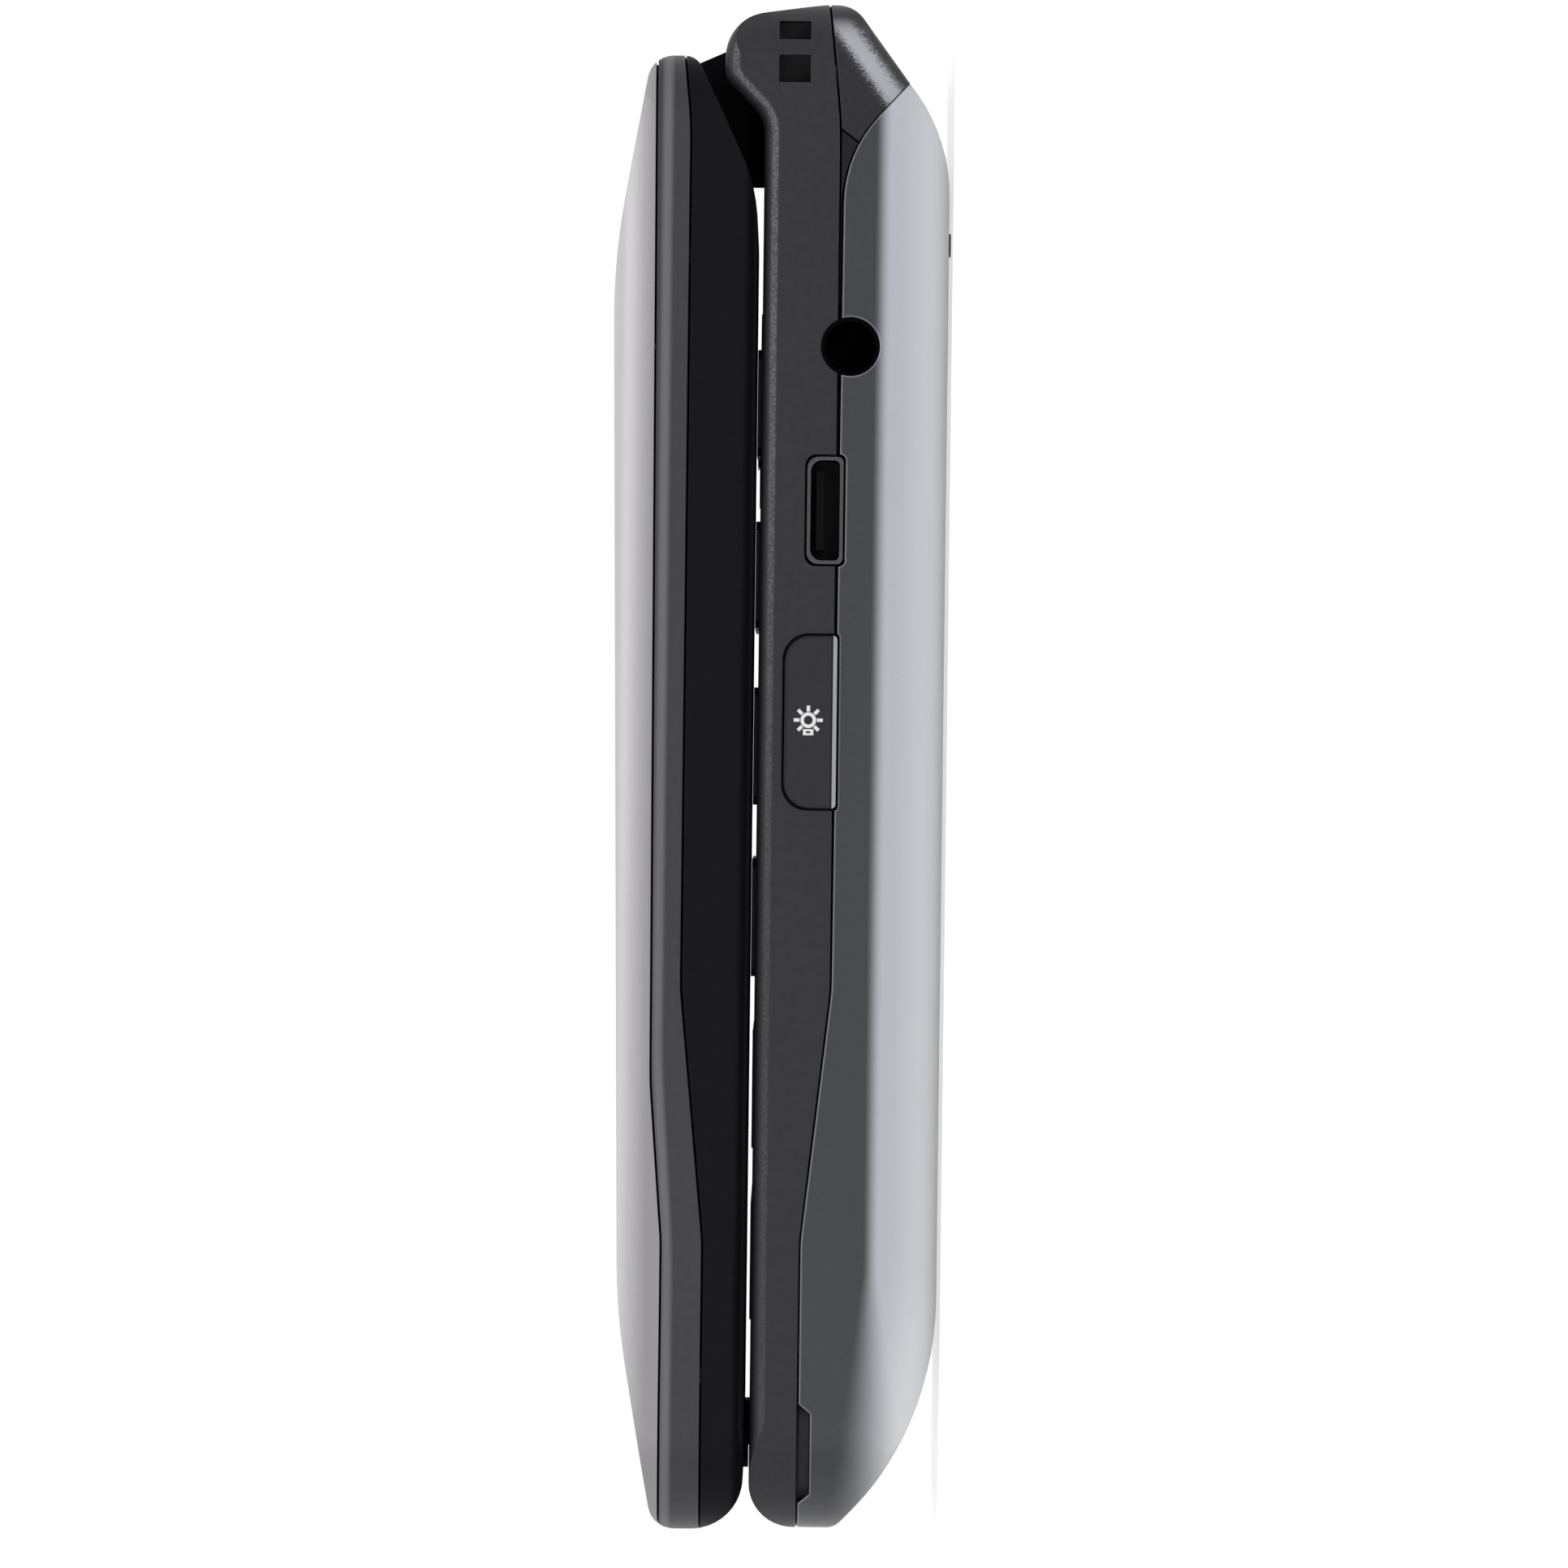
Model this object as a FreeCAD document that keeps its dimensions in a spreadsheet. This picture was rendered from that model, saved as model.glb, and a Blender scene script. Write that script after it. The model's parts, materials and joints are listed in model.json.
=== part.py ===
import FreeCAD, Part
import Sketcher
import math
import os
from types import SimpleNamespace

# A clamshell phone lying closed on its back: +Z up out of the lid, +Y towards the hinge,
# +X the side with the sockets and the torch button. Millimetres and degrees.

DIMENSIONS = {
    # overall
    "phone_length": 107.0,
    "phone_width": 55.0,
    "nub_height": 0.25,
    "corner_free": 8.0,
    "corner_hinge": 4.0,
    "seam_gap": 0.15,
    "fit_gap": 0.15,
    "wall": 1.3,
    "overrun": 8.0,
    "headroom": 2.0,
    # side outline of the base, heights above the surface it lies on
    "deck_height": 13.25,
    "barrel_height": 16.05,
    "barrel_start_from_hinge": 8.1,
    "barrel_front_from_hinge": 5.2,
    "barrel_crest_end_from_hinge": 1.1,
    "barrel_foot": 8.9,
    "barrel_foot_radius": 3.0,
    "barrel_back_radius": 3.2,
    "barrel_front_radius": 1.8,
    "barrel_root_radius": 2.5,
    "side_edge_radius": 1.2,
    "cap_end_radius": 2.4,
    "base_end_radius": 1.5,
    "base_free_end_from_free": 0.2,
    "deck_end_radius": 3.4,
    "back_free_radius": 22.0,
    "back_hinge_radius": 12.0,
    "back_edge_radius": 5.0,
    "hinge_slope_start_from_hinge": 9.5,
    "hinge_slope_top": 7.2,
    "free_slope_start_from_free": 8.3,
    "free_slope_top": 7.3,
    # seams of the base
    "seam_height": 8.0,
    "seam_free_height": 9.95,
    "seam_step_start_from_free": 38.0,
    "seam_step_end_from_free": 20.5,
    "seam_radius": 12.0,
    "seam_rise_start_from_hinge": 8.5,
    "seam_rise": 1.65,
    "seam_rise_radius": 30.0,
    "cover_drop_start_from_hinge": 10.5,
    "cover_drop_radius": 9.0,
    "cover_drop_run": 10.5,
    "cover_drop_lead": 0.2,
    "cap_start_from_hinge": 9.1,
    "cap_lean": 1.6,
    # side outline of the lid
    "lid_gap": 0.4,
    "lid_hinge_end_from_hinge": 3.65,
    "lid_hinge_height": 21.15,
    "lid_crest": 23.7,
    "lid_crest_at_from_hinge": 18.0,
    "lid_knee_height": 22.58,
    "lid_knee_at_from_free": 15.3,
    "lid_free_height": 19.95,
    "lid_free_radius": 4.0,
    "lid_face_radius": 45.0,
    "lid_edge_radius": 3.0,
    "lid_inner_radius": 0.6,
    "lid_chamfer_radius": 12.0,
    "lid_tip_radius": 2.0,
    "lid_heel_radius": 1.5,
    "lid_chamfer_start_from_hinge": 13.2,
    "lid_chamfer_top": 18.1,
    "lid_seam_height": 18.45,
    "lid_seam_free_height": 16.75,
    "panel_seam_hinge": 20.95,
    "panel_seam_height": 20.5,
    "panel_seam_free_height": 19.65,
    "panel_seam_knee_from_free": 31.5,
    "panel_hollow_top": 21.6,
    # hinge
    "axis_y_from_hinge": 3.45,
    "axis_z": 10.91,
    "hinge_opening": 160.0,
    "knuckle_radius": 2.5,
    "knuckle_half_from_side": 11.0,
    "knuckle_side_gap": 0.5,
    "hinge_gap": 0.35,
    "neck_tangent": 24.0,
    "neck_length": 7.0,
    "neck_root": 17.6,
    "chin_start_from_hinge": 11.2,
    "chin_drop": 0.6,
    "chin_gap": 0.5,
    "chin_root": 1.0,
    "pin_radius": 1.6,
    "pin_running_gap": 0.05,
    "pin_seat_gap": 0.02,
    "pin_inner_end_from_side": 19.5,
    "sleeve_bore_radius": 1.0,
    "pin_outer_end_from_side": 4.2,
    # strap eyelet in the barrel end
    "strap_low": 10.1,
    "strap_high": 12.3,
    "strap_near_from_hinge": 5.6,
    "strap_near_end_from_hinge": 3.7,
    "strap_far_start_from_hinge": 2.6,
    "strap_far_from_hinge": 1.3,
    "strap_depth": 3.2,
    "strap_bar": 1.4,
    # headset jack, charging socket and torch button
    "jack_y_from_hinge": 24.0,
    "jack_z": 7.1,
    "jack_mouth_radius": 2.07,
    "jack_body_radius": 2.7,
    "jack_bore_radius": 1.8,
    "jack_lamp_gap": 5.45,
    "jack_floor": 1.0,
    "usb_y_from_hinge": 35.45,
    "usb_z": 8.73,
    "usb_width": 7.5,
    "usb_height": 2.54,
    "usb_depth": 5.6,
    "usb_recess": 0.25,
    "usb_sheet": 0.25,
    "usb_corner": 0.8,
    "usb_tongue_width": 5.6,
    "usb_tongue_thick": 0.6,
    "usb_tongue_lift": 0.35,
    "usb_tongue_recess": 0.8,
    "torch_low_from_hinge": 56.25,
    "torch_high_from_hinge": 44.2,
    "torch_bottom": 7.75,
    "torch_top": 11.4,
    "torch_corner": 1.8,
    "torch_travel": 0.4,
    "button_proud": 0.25,
    "button_gap": 0.15,
    "button_edge": 0.3,
    "button_flange": 0.9,
    "button_lip": 0.8,
    "switch_depth": 2.6,
    "switch_width": 4.0,
    "switch_drop": 0.8,
    "rocker_y_from_hinge": 40.5,
    "rocker_z": 10.3,
    "rocker_length": 19.0,
    "rocker_height": 2.6,
    "rocker_gap": 0.3,
    "rocker_pivot_radius": 0.6,
    # keypad
    "key_rise": 0.28,
    "key_rise_low": 0.1,
    "key_flange": 0.5,
    "key_flange_thick": 0.6,
    "key_gap": 0.2,
    "key_play": 0.1,
    "key_trim": 0.6,
    "key_field_from_side": 3.8,
    "column_gap": 0.6,
    "last_row_from_free": 19.0,
    "number_row_gap": 3.8,
    "menu_row_gap": 4.6,
    "menu_row_from_hinge": 27.9,
    "ring_gap": 5.7,
    "ring_share": 0.58,
    # inside of the base
    "tray_gap": 0.4,
    "tray_low": 1.9,
    "tray_high": 9.2,
    "tray_end_from_hinge": 10.5,
    "tray_floor": 6.6,
    "tray_floor_thick": 1.0,
    "tray_rim": 2.0,
    "wedge_start_from_hinge": 19.5,
    "cavity_end_from_hinge": 10.0,
    "battery_half_from_side": 8.5,
    "battery_low_end_from_free": 16.5,
    "battery_high_end_from_hinge": 45.5,
    "battery_bottom": 1.75,
    "battery_thick": 4.7,
    "contact_width": 10.0,
    "contact_length": 3.0,
    "contact_thick": 3.0,
    "board_half_from_side": 2.2,
    "board_low_end_from_free": 12.5,
    "board_high_end_from_hinge": 17.0,
    "board_thick": 1.0,
    "sheet_thick": 0.3,
    "can_height": 1.5,
    "shield_half_from_side": 9.5,
    "shield_margin": 6.0,
    "boss_radius": 1.7,
    "boss_x_from_side": 5.5,
    "boss_low_y_from_free": 8.9,
    "boss_high_y_from_hinge": 13.2,
    "screw_radius": 0.7,
    "screw_head_radius": 1.5,
    "screw_head": 1.0,
    "screw_seat": 5.6,
    "module_low_end_from_hinge": 35.5,
    "module_high_end_from_hinge": 12.5,
    "module_left_from_side": 5.5,
    "module_lamp_gap": 3.4,
    "camera_y_from_hinge": 22.5,
    "camera_radius": 3.2,
    "camera_size": 8.0,
    "lamp_x": 7.6,
    "lamp_radius": 1.9,
    "lamp_size": 3.0,
    "lamp_height": 1.4,
    "speaker_inner": 6.0,
    "speaker_margin": 2.0,
    "speaker_length": 9.0,
    "speaker_thick": 4.6,
    "grille_slot": 1.0,
    "grille_pitch": 2.2,
    "motor_radius": 1.9,
    "motor_length": 10.0,
    "motor_boss_gap": 4.0,
    "motor_z": 7.0,
    "motor_y_from_free": 8.3,
    "mic_radius": 2.0,
    "mic_height": 1.2,
    "mic_y_from_free": 7.0,
    "mic_hole": 0.5,
    "sim_width": 18.0,
    "sim_length": 16.0,
    "sim_thick": 0.5,
    "sim_y_from_free": 33.5,
    "antenna_half_from_side": 4.5,
    "antenna_y_from_hinge": 7.1,
    "antenna_length": 1.4,
    "antenna_low": 5.4,
    "antenna_high": 7.6,
    "notch_start_from_free": 9.3,
    "notch_end_from_free": 2.0,
    "notch_depth": 0.8,
    "nub_y_from_hinge": 16.2,
    "nub_length": 1.6,
    "nub_x": 9.0,
    "nub_width": 3.0,
    "nub_trim": 0.4,
    # inside of the lid
    "window_half_from_side": 5.5,
    "window_low_end_from_free": 16.5,
    "window_high_end_from_hinge": 23.5,
    "window_thick": 0.9,
    "window_recess": 0.1,
    "window_corner": 3.0,
    "view_half_from_side": 9.0,
    "view_low_end_from_free": 21.5,
    "view_high_end_from_hinge": 27.5,
    "display_half_from_side": 7.0,
    "display_rim": 1.5,
    "display_floor": 15.3,
    "display_thick": 1.9,
    "lid_board_thick": 0.8,
    "lid_bay_top": 18.35,
    "small_view_width": 23.0,
    "small_view_length": 15.0,
    "small_view_y_from_hinge": 39.5,
    "small_display_thick": 1.7,
    "small_window_width": 30.0,
    "small_window_length": 22.0,
    "small_window_floor": 22.2,
    "earpiece_y_from_hinge": 18.3,
    "earpiece_width": 13.0,
    "earpiece_length": 6.0,
    "earpiece_thick": 2.6,
    "earpiece_slot": 1.3,
    "bumper_low_from_free": 4.4,
    "bumper_high_from_free": 7.6,
    "bumper_x_from_side": 10.5,
    "bumper_width": 7.0,
    "bumper_root": 0.8,
    "bumper_trim": 0.6,
    "bumper_air": 0.05,
    "magnet_radius": 2.4,
    "magnet_thick": 1.6,
    "magnet_x": 8.0,
    "magnet_y_from_free": 9.5,
    "lid_screw_x_from_side": 4.5,
    "lid_screw_low_y_from_free": 11.0,
    "lid_screw_high_y_from_hinge": 17.5,
    "lid_screw_reach": 19.0,
}

doc = FreeCAD.newDocument("flip_phone")
sheet = doc.addObject("Spreadsheet::Sheet", "Sizes")
for row, (alias, number) in enumerate(DIMENSIONS.items(), start=1):
    sheet.set(f"A{row}", str(number))
    sheet.setAlias(f"A{row}", alias)
doc.recompute()


class Size:
    """A number together with the sheet expression that gives it."""

    def __init__(self, value, text):
        self.value = value
        self.text = text

    def join(self, other, sign, result):
        return Size(result, f"({self.text} {sign} {as_size(other).text})")

    def __add__(self, other):
        return self.join(other, "+", self.value + as_size(other).value)

    def __sub__(self, other):
        return self.join(other, "-", self.value - as_size(other).value)

    def __mul__(self, other):
        return self.join(other, "*", self.value * as_size(other).value)

    def __truediv__(self, other):
        return self.join(other, "/", self.value / as_size(other).value)

    def __radd__(self, other):
        return as_size(other) + self

    def __rsub__(self, other):
        return as_size(other) - self

    def __rmul__(self, other):
        return as_size(other) * self

    def __neg__(self):
        return Size(-self.value, f"(0 - {self.text})")


def as_size(number):
    if isinstance(number, Size):
        return number
    return Size(float(number), f"({float(number)})")


def mitre(rise, run):
    """How far a corner shifts for each unit that the two sides of a slope move in."""
    slope = math.atan2(rise.value, run.value)
    return Size(math.tan(slope / 2), f"tan(atan({rise.text} / {run.text}) / 2)")


def cosine(angle):
    return Size(math.cos(math.radians(angle.value)), f"cos({angle.text} * 1 deg)")


def sine(angle):
    return Size(math.sin(math.radians(angle.value)), f"sin({angle.text} * 1 deg)")


d = SimpleNamespace(**{alias: Size(float(sheet.get(alias)), f"Sizes.{alias}") for alias in DIMENSIONS})

half_width = d.phone_width / 2
half_length = d.phone_length / 2

# A size named "..._from_hinge", "..._from_free" or "..._from_side" gives a place by its distance
# from that end or side of the phone, and the place itself is d with the plain name.
PLACES = {
    "_from_hinge": lambda distance: half_length - distance,
    "_from_free": lambda distance: distance - half_length,
    "_from_side": lambda distance: half_width - distance,
}
for alias in DIMENSIONS:
    for ending, place_at in PLACES.items():
        if alias.endswith(ending):
            setattr(d, alias.removesuffix(ending), place_at(getattr(d, alias)))

back = d.nub_height
lid_face = d.deck_height + d.lid_gap


# Building blocks

def bind(thing, prop, size):
    thing.setExpression(prop, as_size(size).text)


def place(thing, x, y, z):
    for letter, size in zip("xyz", (x, y, z)):
        bind(thing, f"Placement.Base.{letter}", size)


def box(name, x, y, z):
    """Block between two values on each axis, each given as a (low, high) pair."""
    block = doc.addObject("Part::Box", name)
    for prop, (low, high) in zip(("Length", "Width", "Height"), (x, y, z)):
        bind(block, prop, high - low)
    place(block, x[0], y[0], z[0])
    return block


def centred(size):
    return (-size / 2, size / 2)


def about(middle, size):
    return (middle - size / 2, middle + size / 2)


AXES = {
    "x": FreeCAD.Rotation(FreeCAD.Vector(0, 0, 1), FreeCAD.Vector(1, 0, 0)),
    "z": FreeCAD.Rotation(),
}


def rod(name, axis, radius, start, length):
    """Cylinder of one radius from a start point along +X or +Z."""
    cylinder = doc.addObject("Part::Cylinder", name)
    cylinder.Placement.Rotation = AXES[axis]
    bind(cylinder, "Radius", radius)
    bind(cylinder, "Height", length)
    place(cylinder, *start)
    return cylinder


def tangent_points(before, corner, after, radius):
    """Ends, centre and turn of the arc that rounds one corner."""
    inward = (before - corner).normalize()
    outward = (after - corner).normalize()
    half_angle = inward.getAngle(outward) / 2
    reach = radius / math.tan(half_angle)
    middle = FreeCAD.Vector(inward + outward).normalize()
    centre = corner + middle * (radius / math.sin(half_angle))
    turns_left = inward.cross(outward).z < 0
    return corner + inward * reach, corner + outward * reach, centre, turns_left


def outline(body, plane, corners, offset):
    """Closed sketch on an origin plane; a corner is (u, v) or (u, v, radius)."""
    sketch = body.newObject("Sketcher::SketchObject", body.Name + "_sketch")
    origin_plane = [f for f in body.Origin.OriginFeatures if f.Role == plane + "_Plane"][0]
    sketch.AttachmentSupport = [(origin_plane, "")]
    sketch.MapMode = "FlatFace"
    bind(sketch, "AttachmentOffset.Base.z", offset)
    count = len(corners)
    spots = [FreeCAD.Vector(as_size(c[0]).value, as_size(c[1]).value, 0) for c in corners]
    rounded = [len(c) == 3 for c in corners]
    arcs = {}
    for i in range(count):
        if rounded[i]:
            radius = as_size(corners[i][2]).value
            arcs[i] = tangent_points(spots[i - 1], spots[i], spots[(i + 1) % count], radius)
    geometry = []
    for i in range(count):
        start = arcs[i][1] if rounded[i] else spots[i]
        end = arcs[(i + 1) % count][0] if rounded[(i + 1) % count] else spots[(i + 1) % count]
        geometry.append(Part.LineSegment(start, end))
    lines = sketch.addGeometry(geometry, False)
    held = []
    for i in range(count):
        previous, following = lines[i - 1], lines[i]
        if not rounded[i]:
            sketch.addConstraint(Sketcher.Constraint("Coincident", previous, 2, following, 1))
            held.append((following, 1, corners[i]))
            continue
        first, last, centre, turns_left = arcs[i]
        ends = (first, last) if turns_left else (last, first)
        angles = [math.atan2(e.y - centre.y, e.x - centre.x) for e in ends]
        circle = Part.Circle(centre, FreeCAD.Vector(0, 0, 1), (first - centre).Length)
        arc = sketch.addGeometry(Part.ArcOfCircle(circle, angles[0], angles[1]), False)
        point = sketch.addGeometry(Part.Point(spots[i]), True)
        sketch.addConstraint([
            Sketcher.Constraint("Tangent", previous, 2, arc, 1 if turns_left else 2),
            Sketcher.Constraint("Tangent", following, 1, arc, 2 if turns_left else 1),
            Sketcher.Constraint("PointOnObject", point, 1, previous),
            Sketcher.Constraint("PointOnObject", point, 1, following),
        ])
        index = sketch.addConstraint(Sketcher.Constraint("Radius", arc, (first - centre).Length))
        sketch.setExpression(f"Constraints[{index}]", as_size(corners[i][2]).text)
        held.append((point, 1, corners[i]))
    for geo, pos, corner in held:
        for kind, size in zip(("DistanceX", "DistanceY"), corner):
            index = sketch.addConstraint(Sketcher.Constraint(kind, -1, 1, geo, pos, as_size(size).value))
            sketch.setExpression(f"Constraints[{index}]", as_size(size).text)
    return sketch


def prism(name, plane, corners, low, high):
    """Body padded from an outline on the YZ, XZ or XY plane, between two values on the third axis."""
    body = doc.addObject("PartDesign::Body", name)
    offset = -high if plane == "XZ" else low
    sketch = outline(body, plane, corners, offset)
    pad = body.newObject("PartDesign::Pad", name + "_pad")
    pad.Profile = sketch
    bind(pad, "Length", high - low)
    return body


def rectangle(u, v, radius):
    return [(u[0], v[0], radius), (u[1], v[0], radius), (u[1], v[1], radius), (u[0], v[1], radius)]


def trimmed(u, v, trim):
    """Rectangle with its corners cut off."""
    left, right = u
    low, high = v
    return [
        (left + trim, low),
        (right - trim, low),
        (right, low + trim),
        (right, high - trim),
        (right - trim, high),
        (left + trim, high),
        (left, high - trim),
        (left, low + trim),
    ]


def round_sides(body, radius):
    """Round the edges of a prism along the YZ plane where its outline meets its two ends."""
    doc.recompute()
    pad = body.Tip
    ends = (pad.Shape.BoundBox.XMin, pad.Shape.BoundBox.XMax)
    edges = []
    for number, edge in enumerate(pad.Shape.Edges, start=1):
        bounds = edge.BoundBox
        if bounds.XLength < Part.Precision.confusion() and bounds.XMin in ends:
            edges.append(f"Edge{number}")
    fillet = body.newObject("PartDesign::Fillet", body.Name + "_fillet")
    fillet.Base = (pad, edges)
    bind(fillet, "Radius", radius)
    return body


def boolean(kind, name, shapes):
    thing = doc.addObject(kind, name)
    thing.Shapes = list(shapes)
    return thing


def common(name, *shapes):
    return boolean("Part::MultiCommon", name, shapes)


def fuse(name, *shapes):
    return boolean("Part::MultiFuse", name, shapes)


def cut(name, base, *tools):
    thing = doc.addObject("Part::Cut", name)
    thing.Base = base
    thing.Tool = tools[0] if len(tools) == 1 else fuse(name + "_tools", *tools)
    return thing


NODES = []


def node(thing, label):
    """Mark a finished piece, which is written to its own file."""
    thing.Label = label
    NODES.append(thing)
    return thing


# Outer forms: each is what a side outline, a plan outline and a cross-section have in common

reach = half_length + d.overrun
above = d.lid_crest + d.headroom
below = -d.headroom


def form(name, side, plan, section, edge=None):
    """The edge, where given, is the radius along both sides of the side outline."""
    side_prism = prism(name + "_side", "YZ", side, -half_width, half_width)
    if edge:
        round_sides(side_prism, edge)
    return common(
        name,
        side_prism,
        prism(name + "_plan", "XY", plan, below, above),
        prism(name + "_section", "XZ", section, -reach, reach),
    )


def plan_outline(free_end, hinge_end, inset):
    side = half_width - inset
    free = free_end + inset
    hinge = hinge_end - inset
    return [
        (-side, free, d.corner_free - inset),
        (side, free, d.corner_free - inset),
        (side, hinge, d.corner_hinge - inset),
        (-side, hinge, d.corner_hinge - inset),
    ]


def base_form(name, inset, edge=None):
    """The base moved inwards by an inset; its sloping ends keep their angles."""
    low = back + inset
    free = d.base_free_end + inset
    hinge = half_length - inset
    deck = d.deck_height - inset
    crest = d.barrel_height - inset
    free_rise, free_run = d.free_slope_top - back, d.free_slope_start - d.base_free_end
    hinge_rise, hinge_run = d.hinge_slope_top - back, half_length - d.hinge_slope_start
    side = [
        (d.free_slope_start + inset * mitre(free_rise, free_run), low, d.back_free_radius - inset),
        (d.hinge_slope_start - inset * mitre(hinge_rise, hinge_run), low, d.back_hinge_radius - inset),
        (hinge, d.hinge_slope_top + inset * mitre(hinge_run, hinge_rise), d.cap_end_radius),
        (hinge, d.barrel_foot, d.barrel_foot_radius),
        (d.barrel_crest_end - inset, crest, d.barrel_back_radius - inset),
        (d.barrel_front, crest, d.barrel_front_radius),
        (d.barrel_start, deck, d.barrel_root_radius),
        (free, deck, d.deck_end_radius - inset),
        (free, d.free_slope_top + inset * mitre(free_run, free_rise), d.base_end_radius),
    ]
    wide = half_width - inset
    section = [
        (-wide, low, d.back_edge_radius - inset),
        (wide, low, d.back_edge_radius - inset),
        (wide, above),
        (-wide, above),
    ]
    return form(name, side, plan_outline(d.base_free_end, half_length, inset), section, edge)


base_outer = base_form("base_outer", as_size(0), d.side_edge_radius)
base_inner = common(
    "base_inner",
    base_form("base_inner_form", d.wall),
    box("base_inner_limit", (-half_width, half_width), (-reach, d.cavity_end), (below, above)),
)


# Seams of the base, as regions seen from the side that run right across it

def front_region(name, shift):
    """Everything above the seam under the front shell."""
    corners = [
        (-reach, d.seam_free_height + shift),
        (d.seam_step_end, d.seam_free_height + shift, d.seam_radius),
        (d.seam_step_start, d.seam_height + shift, d.seam_radius),
        (d.seam_rise_start, d.seam_height + shift, d.seam_rise_radius),
        (reach, d.seam_height + d.seam_rise + shift),
        (reach, above),
        (-reach, above),
    ]
    return prism(name, "YZ", corners, -half_width, half_width)


def cover_region(name, shift):
    """Everything behind the edge of the battery cover, which curves down before the cap."""
    corners = [
        (-reach, below),
        (d.cover_drop_start + d.cover_drop_run, below),
        (d.cover_drop_start, d.seam_height - d.cover_drop_lead + shift, d.cover_drop_radius),
        (d.seam_step_start, d.seam_height + shift, d.seam_radius),
        (d.seam_step_end, d.seam_free_height + shift, d.seam_radius),
        (-reach, d.seam_free_height + shift),
    ]
    return prism(name, "YZ", corners, -half_width, half_width)


front_above = front_region("front_above", as_size(0))
front_above_gap = front_region("front_above_gap", -d.seam_gap)
cover_below_gap = cover_region("cover_below_gap", -d.seam_gap)
cover_below = cover_region("cover_below", as_size(0))

cap_foot = (d.cap_start - d.cap_lean / 2, d.seam_height - d.cap_lean)
cap_head = (d.cap_start + d.cap_lean, d.seam_height + d.cap_lean)


# Room for the lid's knuckle and for its neck, which swings over the end of the base

def along_axis(radius, angle, run):
    """Point at a radius and angle from the hinge axis, then a run at right angles to it."""
    y = d.axis_y + radius * cosine(angle) - run * sine(angle)
    z = d.axis_z + radius * sine(angle) + run * cosine(angle)
    return (y, z)


clear_radius = d.knuckle_radius + d.hinge_gap
clear_half = d.knuckle_half + d.knuckle_side_gap
open_tangent = d.neck_tangent - d.hinge_opening
neck_sweep = prism(
    "neck_sweep",
    "YZ",
    [
        (d.axis_y - clear_radius, above),
        (d.axis_y - clear_radius, d.axis_z),
        along_axis(clear_radius, open_tangent, as_size(0)),
        along_axis(clear_radius, open_tangent, 2 * d.neck_length),
        (reach, below),
        (reach, above),
    ],
    -clear_half,
    clear_half,
)
knuckle_room = rod(
    "knuckle_room", "x", clear_radius, (-clear_half, d.axis_y, d.axis_z), clear_half * 2
)
chin_low = lid_face - d.chin_drop
chin_room = box(
    "chin_room",
    (-clear_half, clear_half),
    (d.chin_start - d.chin_gap, d.axis_y),
    (chin_low - d.chin_gap, above),
)
hinge_room = fuse("hinge_room", neck_sweep, knuckle_room, chin_room)
pin_seat_end = d.pin_outer_end + d.fit_gap
barrel_bore = rod(
    "barrel_bore",
    "x",
    d.pin_radius + d.pin_seat_gap,
    (-pin_seat_end, d.axis_y, d.axis_z),
    pin_seat_end * 2,
)


# Openings in the right-hand and left-hand walls

outside = half_width + d.headroom
wall_inside = half_width - d.wall
opening_start = wall_inside - d.wall
switch_front = wall_inside - d.button_lip - d.fit_gap - d.torch_travel - d.fit_gap
switch_back = switch_front - d.switch_depth
usb_front = half_width - d.usb_recess
usb_back = usb_front - d.usb_depth
jack_front = wall_inside - d.fit_gap
jack_back = d.lamp_x + d.jack_lamp_gap
jack_length = jack_front - jack_back
usb_span = about(d.usb_y, d.usb_width)
usb_rise = about(d.usb_z, d.usb_height)
rocker_span = about(d.rocker_y, d.rocker_length)
rocker_rise = about(d.rocker_z, d.rocker_height)


def grown(span, margin):
    return (span[0] - margin, span[1] + margin)


def torch_outline(margin):
    low, high = grown((d.torch_low, d.torch_high), margin)
    bottom, top = grown((d.torch_bottom, d.torch_top), margin)
    return [
        (low, bottom, d.button_edge),
        (high, bottom, d.button_edge),
        (high, top, d.torch_corner),
        (low, top, d.torch_corner),
    ]


def usb_outline(margin):
    low, high = grown(usb_span, margin)
    bottom, top = grown(usb_rise, margin)
    return [
        (low, bottom, d.usb_corner / 2),
        (high, bottom, d.usb_corner / 2),
        (high, top, d.usb_corner),
        (low, top, d.usb_corner),
    ]


wall_openings = [
    prism("torch_opening", "YZ", torch_outline(d.button_gap), opening_start, outside),
    prism("usb_opening", "YZ", usb_outline(d.fit_gap), opening_start, outside),
    rod(
        "jack_opening",
        "x",
        d.jack_mouth_radius,
        (opening_start, d.jack_y, d.jack_z),
        outside - opening_start,
    ),
]
rocker_opening = box(
    "rocker_opening",
    (-outside, -opening_start),
    grown(rocker_span, d.rocker_gap),
    grown(rocker_rise, d.button_gap),
)
room = 2 * d.fit_gap
flange_reach = d.button_flange + room
inner_rooms = [
    box(
        "torch_room",
        (switch_back - room, outside),
        grown((d.torch_low, d.torch_high), flange_reach),
        (d.torch_bottom - room, d.deck_height),
    ),
    box("usb_room", (usb_back - room, outside), grown(usb_span, room), grown(usb_rise, room)),
    box(
        "jack_room",
        (jack_back - room, outside),
        grown((d.jack_y, d.jack_y), d.jack_body_radius + room),
        grown((d.jack_z, d.jack_z), d.jack_body_radius + room),
    ),
    box(
        "rocker_room",
        (-outside, -switch_back + room),
        grown(rocker_span, flange_reach + d.rocker_gap),
        (rocker_rise[0] - flange_reach, d.deck_height),
    ),
]


# Screws that hold the rear frame to the front shell

def corner_spots(x, low_y, high_y):
    return [(side * x, y) for y in (low_y, high_y) for side in (-1, 1)]


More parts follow.
